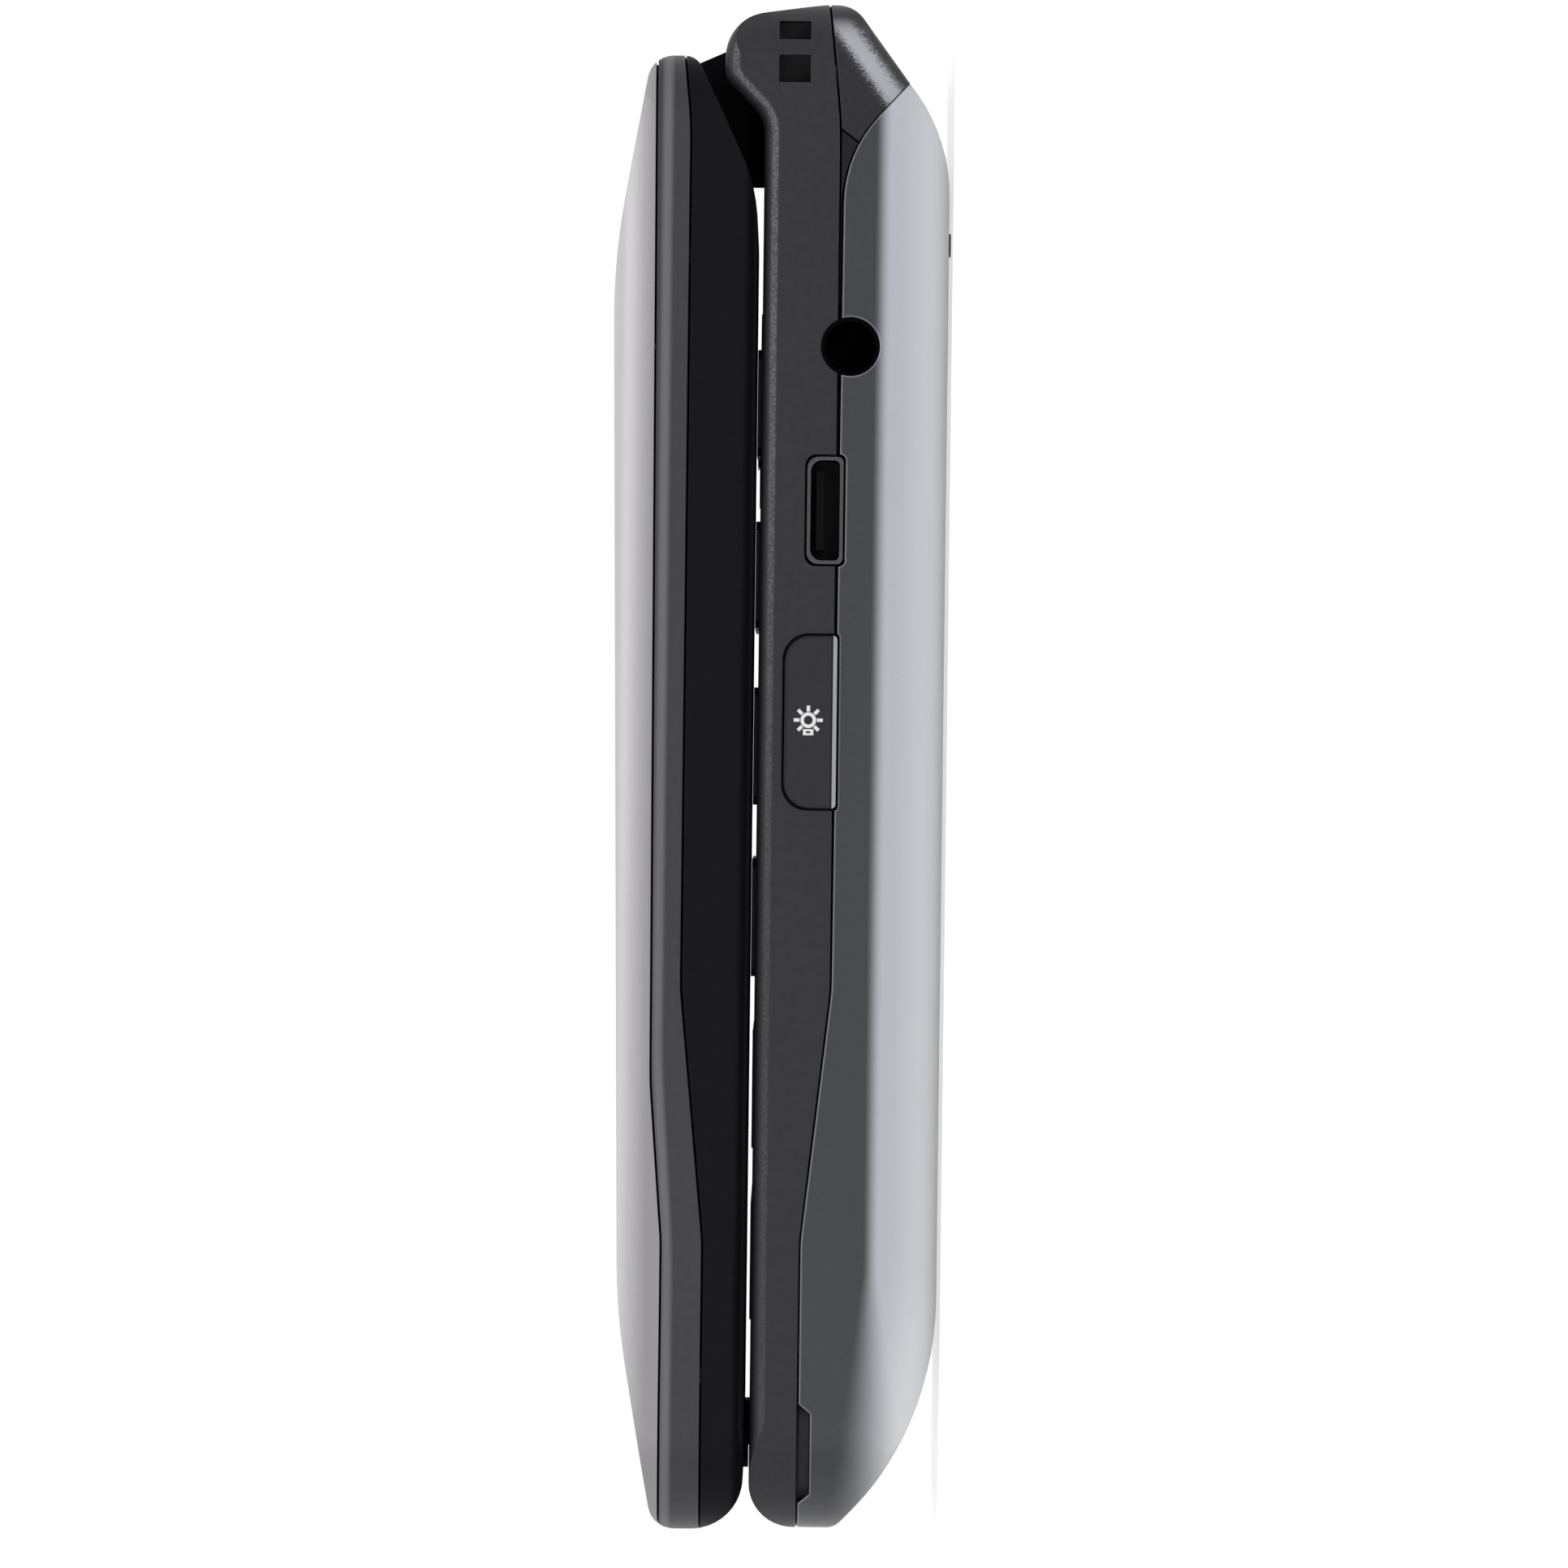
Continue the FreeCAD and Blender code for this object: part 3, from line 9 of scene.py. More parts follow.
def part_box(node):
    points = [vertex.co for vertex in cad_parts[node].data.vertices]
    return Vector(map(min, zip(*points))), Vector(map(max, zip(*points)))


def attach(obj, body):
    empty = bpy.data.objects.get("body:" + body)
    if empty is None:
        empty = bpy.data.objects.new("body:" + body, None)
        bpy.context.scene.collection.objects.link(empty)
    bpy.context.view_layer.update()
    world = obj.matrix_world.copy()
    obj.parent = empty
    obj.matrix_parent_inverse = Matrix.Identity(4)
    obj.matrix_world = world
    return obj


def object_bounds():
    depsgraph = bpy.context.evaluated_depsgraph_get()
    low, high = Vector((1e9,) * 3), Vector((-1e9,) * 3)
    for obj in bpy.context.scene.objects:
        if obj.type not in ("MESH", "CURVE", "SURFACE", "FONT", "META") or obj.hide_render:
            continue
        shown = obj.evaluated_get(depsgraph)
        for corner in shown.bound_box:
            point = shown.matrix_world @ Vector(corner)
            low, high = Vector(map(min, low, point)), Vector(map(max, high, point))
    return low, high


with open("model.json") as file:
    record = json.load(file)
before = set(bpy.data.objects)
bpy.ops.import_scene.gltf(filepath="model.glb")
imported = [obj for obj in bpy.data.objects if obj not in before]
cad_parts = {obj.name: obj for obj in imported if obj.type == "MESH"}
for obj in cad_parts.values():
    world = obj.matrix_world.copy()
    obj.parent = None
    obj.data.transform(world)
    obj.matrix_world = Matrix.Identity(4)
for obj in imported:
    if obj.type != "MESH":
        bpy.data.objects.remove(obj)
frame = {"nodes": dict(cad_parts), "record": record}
cad_box = [list(corner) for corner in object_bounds()]
nodes = frame["nodes"]
mm = 0.001


# Camera, square on to the side with the sockets, as in the photograph

photo_pixels = 1932
pixel = 0.0566 * mm
camera_distance = 1.0
sensor_width = 36.0
photo_roll = math.radians(0.70)
aim = Vector((cad_box[1][0], -1.075 * mm, 11.36 * mm))


def make_camera():
    lens = bpy.data.cameras.new("camera")
    lens.sensor_width = sensor_width
    lens.lens = sensor_width * camera_distance / (photo_pixels * pixel)
    camera = bpy.data.objects.new("camera", lens)
    right = Vector((0, math.sin(photo_roll), -math.cos(photo_roll)))
    up = Vector((0, math.cos(photo_roll), math.sin(photo_roll)))
    towards = Vector((1, 0, 0))
    turn = Matrix((right, up, towards)).transposed().to_4x4()
    camera.matrix_world = Matrix.Translation(aim + towards * camera_distance) @ turn
    bpy.context.collection.objects.link(camera)
    bpy.context.scene.camera = camera


# Node graphs

def tone(red, green=None, blue=None):
    """Linear colour of an sRGB tone from 0 to 255; one number is a grey."""
    levels = (red, red, red) if green is None else (red, green, blue)
    shares = [level / 255 for level in levels]
    linear = [s / 12.92 if s <= 0.04045 else ((s + 0.055) / 1.055) ** 2.4 for s in shares]
    return (*linear, 1.0)


class Graph:
    """The nodes of one material or world, with short ways to add and link them."""

    def __init__(self, tree):
        self.nodes = tree.nodes
        self.links = tree.links

    def put(self, socket, value):
        if isinstance(value, bpy.types.NodeSocket):
            self.links.new(value, socket)
        else:
            socket.default_value = value

    def add(self, kind, inputs=None, **settings):
        made = self.nodes.new(kind)
        for name, value in settings.items():
            setattr(made, name, value)
        for key, value in (inputs or {}).items():
            self.put(made.inputs[key], value)
        return made

    def math(self, operation, first, second=0.0):
        return self.add("ShaderNodeMath", {0: first, 1: second}, operation=operation).outputs[0]

    def scaled(self, value, factor, shift):
        return self.math("ADD", self.math("MULTIPLY", value, factor), shift)

    def ramp(self, value, start, end):
        """0 at start, 1 at end, smooth in between."""
        made = self.add(
            "ShaderNodeMapRange", {"Value": value, "From Min": start, "From Max": end},
            interpolation_type="SMOOTHSTEP",
        )
        return made.outputs["Result"]

    def mix(self, share, first, second):
        made = self.add("ShaderNodeMix", data_type="RGBA")
        for name, value in (("Factor", share), ("A", first), ("B", second)):
            sockets = [s for s in made.inputs if s.name == name and s.enabled]
            self.put(sockets[0], value)
        return [s for s in made.outputs if s.enabled][0]


class Paint(Graph):
    """A procedural material on the standard shader."""

    def __init__(self, name, **fixed):
        self.material = bpy.data.materials.new(name)
        self.material.use_nodes = True
        super().__init__(self.material.node_tree)
        self.shader = self.nodes["Principled BSDF"]
        for words, value in fixed.items():
            self.set(words.replace("_", " ").title().replace("Ior", "IOR"), value)

    def set(self, socket, value):
        self.put(self.shader.inputs[socket], value)

    def place(self):
        """The point in metres, in the frame of the piece."""
        return self.add("ShaderNodeTexCoord").outputs["Object"]

    def position(self):
        """X, Y and Z of the point in metres, in the frame of the piece."""
        return self.add("ShaderNodeSeparateXYZ", {0: self.place()}).outputs

    def facing(self):
        """X, Y and Z of the surface's own direction, in the frame of the piece."""
        normal = self.add("ShaderNodeTexCoord").outputs["Normal"]
        return self.add("ShaderNodeSeparateXYZ", {0: normal}).outputs

    def noise(self, size, detail=2.0):
        """Noise whose features are about size metres across."""
        inputs = {"Vector": self.place(), "Scale": 1 / size, "Detail": detail}
        return self.add("ShaderNodeTexNoise", inputs).outputs["Fac"]

    def shade(self, dark, light, size):
        """Two close colours mixed by a soft noise."""
        return self.mix(self.noise(size), dark, light)

    def varied(self, socket, size, low, high):
        """A shader value that wanders between two levels."""
        made = self.add("ShaderNodeMapRange", {"Value": self.noise(size), "To Min": low, "To Max": high})
        self.set(socket, made.outputs["Result"])

    def grain(self, size, height, soft_edge):
        """Fine surface texture of the given size and height, with edges softened."""
        rounded = self.add("ShaderNodeBevel", {"Radius": soft_edge}, samples=6).outputs[0]
        inputs = {"Height": self.noise(size), "Distance": height, "Strength": 1.0, "Normal": rounded}
        self.set("Normal", self.add("ShaderNodeBump", inputs).outputs[0])

    def edges(self, reach):
        """1 along the sharp edges of the piece, 0 further away than reach."""
        flat_match, edge_match = 0.99, 0.85
        rounded = self.add("ShaderNodeBevel", {"Radius": reach}, samples=4).outputs[0]
        flat = self.add("ShaderNodeNewGeometry").outputs["Normal"]
        match = self.add("ShaderNodeVectorMath", {0: rounded, 1: flat}, operation="DOT_PRODUCT")
        return self.ramp(match.outputs["Value"], flat_match, edge_match)


# Sizes that several finishes share: unevenness of tone and gloss, and the grain's size and height

mottle = 0.6 * mm
gloss_patch = 2.5 * mm
window_patch = 4.0 * mm
spray_patch = 2.0 * mm
spray_flake = 0.12 * mm
spray_grain = (0.05 * mm, 0.002 * mm)
metal_mottle = 0.4 * mm
metal_patch = 1.0 * mm
metal_grain = (0.1 * mm, 0.002 * mm)
metal_edge = 0.05 * mm
fine_grain = (0.1 * mm, 0.005 * mm)
print_grain = (0.05 * mm, 0.001 * mm)


# Finishes of several pieces

def moulded(name, dark, light, grain, roughness, specular=0.3, worn=None):
    """Moulded plastic: two close tones, grain, softened edges and, where worn, a paler line on them."""
    edge, spread = 0.12 * mm, 0.05
    paint = Paint(name, specular_ior_level=specular)
    colour = paint.shade(dark, light, mottle)
    if worn:
        colour = paint.mix(paint.edges(edge), colour, worn)
    paint.set("Base Color", colour)
    paint.varied("Roughness", gloss_patch, roughness - spread, roughness + spread)
    paint.grain(*grain, edge)
    return paint.material


def metal(name, dark, light, roughness):
    spread = 0.06
    paint = Paint(name, metallic=1.0)
    paint.set("Base Color", paint.shade(dark, light, metal_mottle))
    paint.varied("Roughness", metal_patch, roughness - spread, roughness + spread)
    paint.grain(*metal_grain, metal_edge)
    return paint.material


def lens_clear():
    """Clear plastic with a faint unevenness in its tint and gloss."""
    tint_patch = 3.0 * mm
    paint = Paint("lens_clear", transmission_weight=1.0, ior=1.49)
    paint.set("Base Color", paint.shade(tone(238), tone(246), tint_patch))
    paint.varied("Roughness", window_patch, low=0.02, high=0.05)
    return paint.material


def window_acrylic():
    """Smoked window, polished, that lets a little of the display show through."""
    paint = Paint("window_acrylic", specular_ior_level=0.3, alpha=0.55)
    paint.set("Base Color", paint.shade(tone(12, 13, 16), tone(18, 19, 22), window_patch))
    paint.varied("Roughness", window_patch, low=0.06, high=0.12)
    return paint.material


# Finishes of one piece; each pair of heights or shares is where a tone starts and where it is full

def cover_silver():
    """Silver spray on the battery cover, painted paler towards the back as painted light; its upright sides
    are painted dark grey as a painted reflection of the dim side, with a painted highlight along their edges.
    """
    fade_top, fade_end, palest = 5.5 * mm, 4.3 * mm, 0.4 * mm
    knee, rise, widening = -35 * mm, 0.14, 0.3
    skirt_mottle, edge_highlight_reach = 0.5 * mm, 0.25 * mm
    paint = Paint("cover_silver", metallic=0.1, specular_ior_level=0.4, coat_weight=0.15, coat_roughness=0.3)
    position = paint.position()
    beyond_knee = paint.math("MAXIMUM", paint.math("SUBTRACT", knee, position["Y"]), 0.0)
    height = paint.math("SUBTRACT", position["Z"], paint.math("MULTIPLY", beyond_knee, rise))
    lowest = paint.math("SUBTRACT", fade_end, paint.math("MULTIPLY", beyond_knee, widening))
    flake = paint.shade(tone(190, 191, 199), tone(202, 203, 210), spray_flake)
    # painted light: the silver grows paler towards the back, which lies in the floor's shade
    silver = paint.mix(paint.ramp(height, fade_end, palest), flake, tone(228, 229, 232))
    # painted reflection: the upright sides are dark grey, as if they mirrored the dim side
    painted_dark_reflection = paint.shade(tone(50, 51, 54), tone(58, 59, 62), skirt_mottle)
    # painted highlight: a pale line along the edges of the dark sides
    edge_highlighted = paint.mix(paint.edges(edge_highlight_reach), painted_dark_reflection, tone(150, 151, 156))
    paint.set("Base Color", paint.mix(paint.ramp(height, fade_top, lowest), edge_highlighted, silver))
    paint.varied("Roughness", spray_patch, low=0.38, high=0.46)
    paint.grain(*spray_grain, soft_edge=0.15 * mm)
    return paint.material


def panel_silver():
    """Pale silver spray on the lid's front panel, with painted shade making it deeper towards its rim."""
    rim, face = 20.4 * mm, 22.6 * mm
    paint = Paint("panel_silver", metallic=0.15, specular_ior_level=0.4, coat_weight=0.2, coat_roughness=0.25)
    # painted shade: the silver is deeper towards the rim and paler towards the face
    shaded_silver = paint.shade(tone(146, 144, 148), tone(156, 154, 158), spray_flake)
    pale = paint.shade(tone(190, 188, 191), tone(200, 198, 201), spray_flake)
    paint.set("Base Color", paint.mix(paint.ramp(paint.position()["Z"], rim, face), shaded_silver, pale))
    paint.varied("Roughness", spray_patch, low=0.34, high=0.42)
    paint.grain(*spray_grain, soft_edge=0.1 * mm)
    return paint.material


def camera_glass():
    """Camera: a black surround, a thin pale ring and a polished dark lens in its middle."""
    ring_outer, ring_inner, pupil, soft = 2.3 * mm, 2.0 * mm, 0.6 * mm, 0.05 * mm
    surround_roughness, lens_roughness = 0.4, 0.08
    low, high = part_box("camera_module")
    paint = Paint("camera_glass", specular_ior_level=0.5)
    position = paint.position()
    offsets = [paint.math("SUBTRACT", position[axis], (low[axis] + high[axis]) / 2) for axis in (0, 1)]
    squares = [paint.math("MULTIPLY", offset, offset) for offset in offsets]
    radius = paint.math("SQRT", paint.math("ADD", *squares))
    surround = paint.shade(tone(14), tone(20), mottle)
    ringed = paint.mix(paint.ramp(radius, ring_outer + soft, ring_outer), surround, tone(96, 97, 100))
    lens = paint.ramp(radius, ring_inner, ring_inner - soft)
    tinted = paint.mix(paint.ramp(radius, ring_inner, pupil), tone(16, 19, 30), tone(5, 5, 8))
    paint.set("Base Color", paint.mix(lens, ringed, tinted))
    paint.set("Roughness", paint.scaled(lens, lens_roughness - surround_roughness, surround_roughness))
    return paint.material


def socket_metal():
    """Charging socket: plain steel at its mouth, painted black inside as painted shade."""
    mouth, inside = 27.2 * mm, 27.1 * mm
    paint = Paint("socket_metal", metallic=0.5)
    rim = paint.shade(tone(70, 70, 72), tone(88, 88, 90), metal_mottle)
    # painted shade: black inside, past the socket's mouth
    paint.set("Base Color", paint.mix(paint.ramp(paint.position()["X"], mouth, inside), rim, tone(9)))
    paint.varied("Roughness", metal_patch, low=0.45, high=0.55)
    paint.grain(*metal_grain, metal_edge)
    return paint.material


def frame_strip():
    """Satin dark frame of the lid, with a painted highlight along a line under its upper edge."""
    highlight_height, highlight_half_width, highlight_core = 20.0 * mm, 0.55 * mm, 0.1 * mm
    drop, drop_start, drop_end = 0.85 * mm, -18 * mm, -36 * mm
    paint = Paint("frame_strip", specular_ior_level=0.25)
    position = paint.position()
    lowered = paint.math("MULTIPLY", paint.ramp(position["Y"], drop_start, drop_end), drop)
    height = paint.math("ADD", position["Z"], lowered)
    away = paint.math("ABSOLUTE", paint.math("SUBTRACT", height, highlight_height))
    body = paint.shade(tone(58, 57, 61), tone(66, 65, 69), mottle)
    # painted highlight: paler along a line under the upper edge, lower towards the free end
    paint.set("Base Color", paint.mix(paint.ramp(away, highlight_half_width, highlight_core), body, tone(110, 110, 113)))
    paint.varied("Roughness", spray_patch, low=0.42, high=0.5)
    paint.grain(size=0.08 * mm, height=0.003 * mm, soft_edge=0.2 * mm)
    return paint.material


def torch_plastic():
    """Torch button: dark satin plastic, with painted shade as a black rim and a black line, and a painted
    highlight as a bright line along its lower edge.
    """
    rim_width = 0.45 * mm
    painted_shade_line = (8.2 * mm, 8.1 * mm)
    painted_highlight_line = (8.06 * mm, 8.0 * mm)
    paint = Paint("torch_plastic", specular_ior_level=0.2)
    height = paint.position()["Z"]
    body = paint.shade(tone(42, 41, 45), tone(50, 49, 53), mottle)
    # painted shade: black along the button's edges, at the seam around it
    shade_rimmed = paint.mix(paint.edges(rim_width), body, tone(8))
    # painted shade: a black line just above the lower edge
    lined = paint.mix(paint.ramp(height, *painted_shade_line), shade_rimmed, tone(8))
    # painted highlight: a bright line along the lower edge
    paint.set("Base Color", paint.mix(paint.ramp(height, *painted_highlight_line), lined, tone(170, 170, 173)))
    paint.varied("Roughness", gloss_patch, low=0.42, high=0.5)
    paint.grain(size=0.12 * mm, height=0.005 * mm, soft_edge=0.1 * mm)
    return paint.material


def shell_plastic():
    """Fine-textured front shell, with a painted highlight where its flanks begin to round over and painted
    shade along the edge by the deck.
    """
    leaves_flank, stays_steep, looks_up, looks_along = (1.0, 0.97), (0.76, 0.9), (0.05, 0.25), (0.8, 0.5)
    along_shell, by_deck = (-20 * mm, 40 * mm), (12.6 * mm, 13.2 * mm)
    far_share, least_speckle = 0.3, 0.4
    speckle_size, speckle_detail, speckle_cut = 0.2 * mm, 3.0, (0.4, 0.6)
    paint = Paint("shell_plastic", specular_ior_level=0.2)
    position, facing = paint.position(), paint.facing()
    flank = paint.math("ABSOLUTE", facing["X"])
    turning = paint.math("MULTIPLY", paint.ramp(flank, *leaves_flank), paint.ramp(flank, *stays_steep))
    by_hinge = paint.scaled(paint.ramp(position["Y"], *along_shell), 1 - far_share, far_share)
    specks = paint.ramp(paint.noise(speckle_size, speckle_detail), *speckle_cut)
    speckle = paint.scaled(specks, 1 - least_speckle, least_speckle)
    upward = paint.math("MULTIPLY", paint.ramp(facing["Z"], *looks_up), speckle)
    # painted highlight on the rounded flanks, stronger towards the hinge and broken into specks
    painted_sheen = paint.math("MULTIPLY", paint.math("MULTIPLY", turning, upward), by_hinge)
    # painted shade: darker along the deck's edge, beside the gap under the lid
    rim = paint.math("MULTIPLY", paint.ramp(flank, *looks_along), paint.ramp(position["Z"], *by_deck))
    body = paint.shade(tone(46, 45, 49), tone(55, 54, 58), mottle)
    rounded = paint.mix(painted_sheen, body, tone(106, 106, 110))
    paint.set("Base Color", paint.mix(rim, rounded, tone(34, 33, 37)))
    paint.varied("Roughness", gloss_patch, low=0.45, high=0.55)
    paint.grain(size=0.14 * mm, height=0.012 * mm, soft_edge=0.1 * mm)
    return paint.material


def cap_plastic():
    """Spark-eroded rear cap, with a painted highlight beside its sloping edge and its flanks painted paler
    towards that edge as painted light.
    """
    slope_foot = Vector((0, 44.0, 0.25)) * mm
    inward = Vector((0, -0.59, 0.807))
    outer_end, band_end, band_start = (3.4 * mm, 2.2 * mm), (3.0 * mm, 2.3 * mm), (1.0 * mm, 1.8 * mm)
    on_flank = (0.6, 0.95)
    speckle_size, speckle_detail, speckle_reach = 0.16 * mm, 3.0, 1.1 * mm
    body_mottle = 0.4 * mm
    paint = Paint("cap_plastic", specular_ior_level=0.25)
    offset = paint.add("ShaderNodeVectorMath", {0: paint.place(), 1: slope_foot}, operation="SUBTRACT")
    depth = paint.add("ShaderNodeVectorMath", {0: offset.outputs[0], 1: inward}, operation="DOT_PRODUCT")
    speckle = paint.math("MULTIPLY", paint.noise(speckle_size, speckle_detail), speckle_reach)
    broken = paint.math("ADD", depth.outputs["Value"], speckle)
    flank = paint.ramp(paint.math("ABSOLUTE", paint.facing()["X"]), *on_flank)
    # painted light: the flanks are paler near the sloping edge
    outer = paint.math("MULTIPLY", paint.ramp(broken, *outer_end), flank)
    # painted highlight: a bright strip a little way in from the sloping edge, broken into specks
    highlight_band = paint.math("MULTIPLY", paint.ramp(broken, *band_end), paint.ramp(broken, *band_start))
    body = paint.shade(tone(34, 33, 38), tone(46, 45, 50), body_mottle)
    paler = paint.mix(outer, body, tone(78, 78, 84))
    paint.set("Base Color", paint.mix(paint.math("MULTIPLY", highlight_band, flank), paler, tone(182, 182, 190)))
    paint.varied("Roughness", gloss_patch, low=0.45, high=0.53)
    paint.grain(size=0.22 * mm, height=0.03 * mm, soft_edge=0.4 * mm)
    return paint.material


def lid_plastic():
    """Satin black inner shell of the lid, with painted shade making it blacker towards the gap over the keys,
    where it is also duller.
    """
    near_gap, off_inner_face = (14.7 * mm, 14.1 * mm), (-0.8, -0.4)
    least_roughness, roughness_spread, duller = 0.4, 0.1, 0.5
    paint = Paint("lid_plastic", specular_ior_level=0.05)
    body = paint.shade(tone(18, 17, 21), tone(25, 24, 28), mottle)
    low = paint.ramp(paint.position()["Z"], *near_gap)
    # painted shade: blacker near the gap, except on the inner face
    shadow = paint.math("MULTIPLY", low, paint.ramp(paint.facing()["Z"], *off_inner_face))
    paint.set("Base Color", paint.mix(shadow, body, tone(10, 9, 12)))
    satin = paint.scaled(paint.noise(gloss_patch), roughness_spread, least_roughness)
    paint.set("Roughness", paint.math("ADD", satin, paint.math("MULTIPLY", shadow, duller)))
    paint.grain(size=0.1 * mm, height=0.004 * mm, soft_edge=0.12 * mm)
    return paint.material


# Which finish goes where: by the record's material slot, or by the piece's own name

finishes = {
    "frame_grey": frame_strip(),
    "shell_grey": shell_plastic(),
    "lid_black": lid_plastic(),
    "frame_black": moulded(
        "rear_plastic", tone(28, 27, 31), tone(36, 35, 39), fine_grain, roughness=0.5, specular=0.12
    ),
    "cap_grey": cap_plastic(),
    "soft_rubber": moulded(
        "rubber", tone(14), tone(22), (0.1 * mm, 0.006 * mm), roughness=0.7, specular=0.1
    ),
    "window_glass": window_acrylic(),
    "display_panel": moulded(
        "display_face", tone(34, 38, 45), tone(44, 48, 56), (0.3 * mm, 0.001 * mm),
        roughness=0.3, specular=0.2,
    ),
    "circuit_board": moulded(
        "board_mask", tone(22, 58, 34), tone(30, 72, 42), (0.4 * mm, 0.02 * mm),
        roughness=0.4, specular=0.5,
    ),
    "steel": metal("plated_steel", tone(112, 112, 115), tone(138, 138, 141), roughness=0.34),
    "gold_contact": metal("gold_plate", tone(205, 165, 85), tone(222, 186, 110), roughness=0.25),
    "battery_wrap": moulded(
        "battery_film", tone(34, 36, 40), tone(46, 48, 52), (0.6 * mm, 0.01 * mm), roughness=0.45
    ),
    "module_black": moulded("module_plastic", tone(9), tone(15), fine_grain, roughness=0.4, specular=0.2),
    "lamp_lens": lens_clear(),
    "lamp_yellow": moulded(
        "lamp_phosphor", tone(222, 196, 90), tone(238, 214, 120), fine_grain, roughness=0.5
    ),
    "dome_film": moulded(
        "dome_film", tone(188, 190, 192), tone(204, 206, 208), (0.3 * mm, 0.004 * mm), roughness=0.4
    ),
    "key_plastic": moulded(
        "key_plastic", tone(40, 40, 43), tone(48, 48, 51), (0.1 * mm, 0.004 * mm),
        roughness=0.36, specular=0.35, worn=tone(74),
    ),
    "button_plastic": moulded(
        "button_plastic", tone(46, 46, 49), tone(56, 56, 59), (0.12 * mm, 0.006 * mm), roughness=0.45
    ),
}
socket_grain = (0.1 * mm, 0.003 * mm)
own_finishes = {
    "battery_cover": cover_silver(),
    "lid_front_panel": panel_silver(),
    "usb_socket": socket_metal(),
    "camera_module": camera_glass(),
    "torch_button": torch_plastic(),
    # the jack and the socket's tongue are black plastic, made blacker still as painted shade in their holes
    "headset_jack": moulded("jack_plastic", tone(3), tone(6), socket_grain, roughness=0.5, specular=0.05),
    "usb_tongue": moulded("tongue_plastic", tone(4), tone(7), socket_grain, roughness=0.6, specular=0.1),
}
ledge_grey = moulded(
    "ledge_plastic", tone(48, 48, 51), tone(58, 58, 61), fine_grain, roughness=0.5, specular=0.1
)
white_print = moulded("white_print", tone(246), tone(252), print_grain, roughness=0.5)
green_print = moulded("green_print", tone(60, 150, 84), tone(74, 164, 98), print_grain, roughness=0.5)
red_print = moulded("red_print", tone(176, 52, 48), tone(190, 64, 58), print_grain, roughness=0.5)


def dress(thing, material):
    thing.data.materials.clear()
    thing.data.materials.append(material)


def dress_nodes():
    for part in frame["record"]["subparts"]:
        name = part["node"]
        finish = own_finishes.get(name) or finishes[part["material_slot"]]
        dress(nodes[name], finish)


# Flat pieces cut from outlines in millimetres

def around(middle, radius, angle):
    """The point at a radius and an angle in degrees from a middle."""
    turn = math.radians(angle)
    return (middle[0] + radius * math.cos(turn), middle[1] + radius * math.sin(turn))


def circle(radius, count=32):
    return [around((0, 0), radius, 360 * step / count) for step in range(count)]


def bar(middle, length, width, angle=0.0):
    """Corners of a bar about its middle, turned by an angle in degrees."""
    c, s = math.cos(math.radians(angle)), math.sin(math.radians(angle))
    corners = [(u * length / 2, v * width / 2) for u, v in ((-1, -1), (1, -1), (1, 1), (-1, 1))]
    return [(middle[0] + u * c - v * s, middle[1] + u * s + v * c) for u, v in corners]


def put_piece(name, data, place, material, body):
    piece = bpy.data.objects.new(name, data)
    piece.matrix_world = place
    bpy.context.collection.objects.link(piece)
    dress(piece, material)
    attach(piece, body)


def cutout(name, outlines, thick, place, material, body):
    """A flat piece with the given closed outlines; an outline inside another is a hole."""
    curve = bpy.data.curves.new(name, "CURVE")
    curve.dimensions = "2D"
    curve.fill_mode = "BOTH"
    curve.extrude = thick * mm / 2
    for outline in outlines:
        spline = curve.splines.new("POLY")
        spline.points.add(len(outline) - 1)
        for point, (u, v) in zip(spline.points, outline):
            point.co = (u * mm, v * mm, 0, 1)
        spline.use_cyclic_u = True
    put_piece(name, curve, place, material, body)


def facing_side(x, y, z):
    """A plane on the photographed side: across is down towards the back, up is towards the hinge."""
    turn = Matrix(((0, 0, 1), (0, 1, 0), (-1, 0, 0))).to_4x4()
    return Matrix.Translation((x, y, z)) @ turn


def facing_up(x, y, z):
    return Matrix.Translation((x, y, z))


def facing_along(x):
    """An upright plane across the phone: across is towards the hinge, up is up."""
    turn = Matrix(((0, 0, 1), (1, 0, 0), (0, 1, 0))).to_4x4()
    return Matrix.Translation((x, 0, 0)) @ turn


# Sign on the torch button

print_thick = 0.016


def torch_sign():
    """A lit bulb: a ring with seven rays and a small base that has a slot."""
    ring, line, rays, first_ray, ray_step = 0.43, 0.25, 7, -45, 45
    ray_start, ray_end = 0.6, 1.02
    foot, foot_size, slot_size = (0, -0.84), (0.74, 0.44), (0.3, 0.12)
    sign_y, sign_z = 3.4 * mm, 9.72 * mm
    outlines = [circle(ring + line / 2), circle(ring - line / 2)]
    for ray in range(rays):
        angle = first_ray + ray_step * ray
        middle = around((0, 0), (ray_start + ray_end) / 2, angle)
        outlines.append(bar(middle, ray_end - ray_start, line, angle))
    outlines.append(bar(foot, *foot_size))
    outlines.append(bar(foot, *slot_size))
    low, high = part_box("torch_button")
    place = facing_side(high[0], sign_y, sign_z)
    cutout("torch_sign", outlines, print_thick, place, white_print, "torch_button")


# Signs on the keys

def key_top(name):
    low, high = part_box(name)
    return facing_up((low[0] + high[0]) / 2, (low[1] + high[1]) / 2, high[2])


def key_number(node, text):
    letters = bpy.data.curves.new(node + "_sign", "FONT")
    letters.body = text
    letters.size = 5.0 * mm
    letters.align_x = "CENTER"
    letters.align_y = "CENTER"
    letters.extrude = print_thick * mm / 2
    letters.resolution_u = 3
    put_piece(node + "_sign", letters, key_top(node), white_print, node)


def key_sign(node, outlines, material=white_print):
    cutout(node + "_sign", outlines, print_thick, key_top(node), material, node)


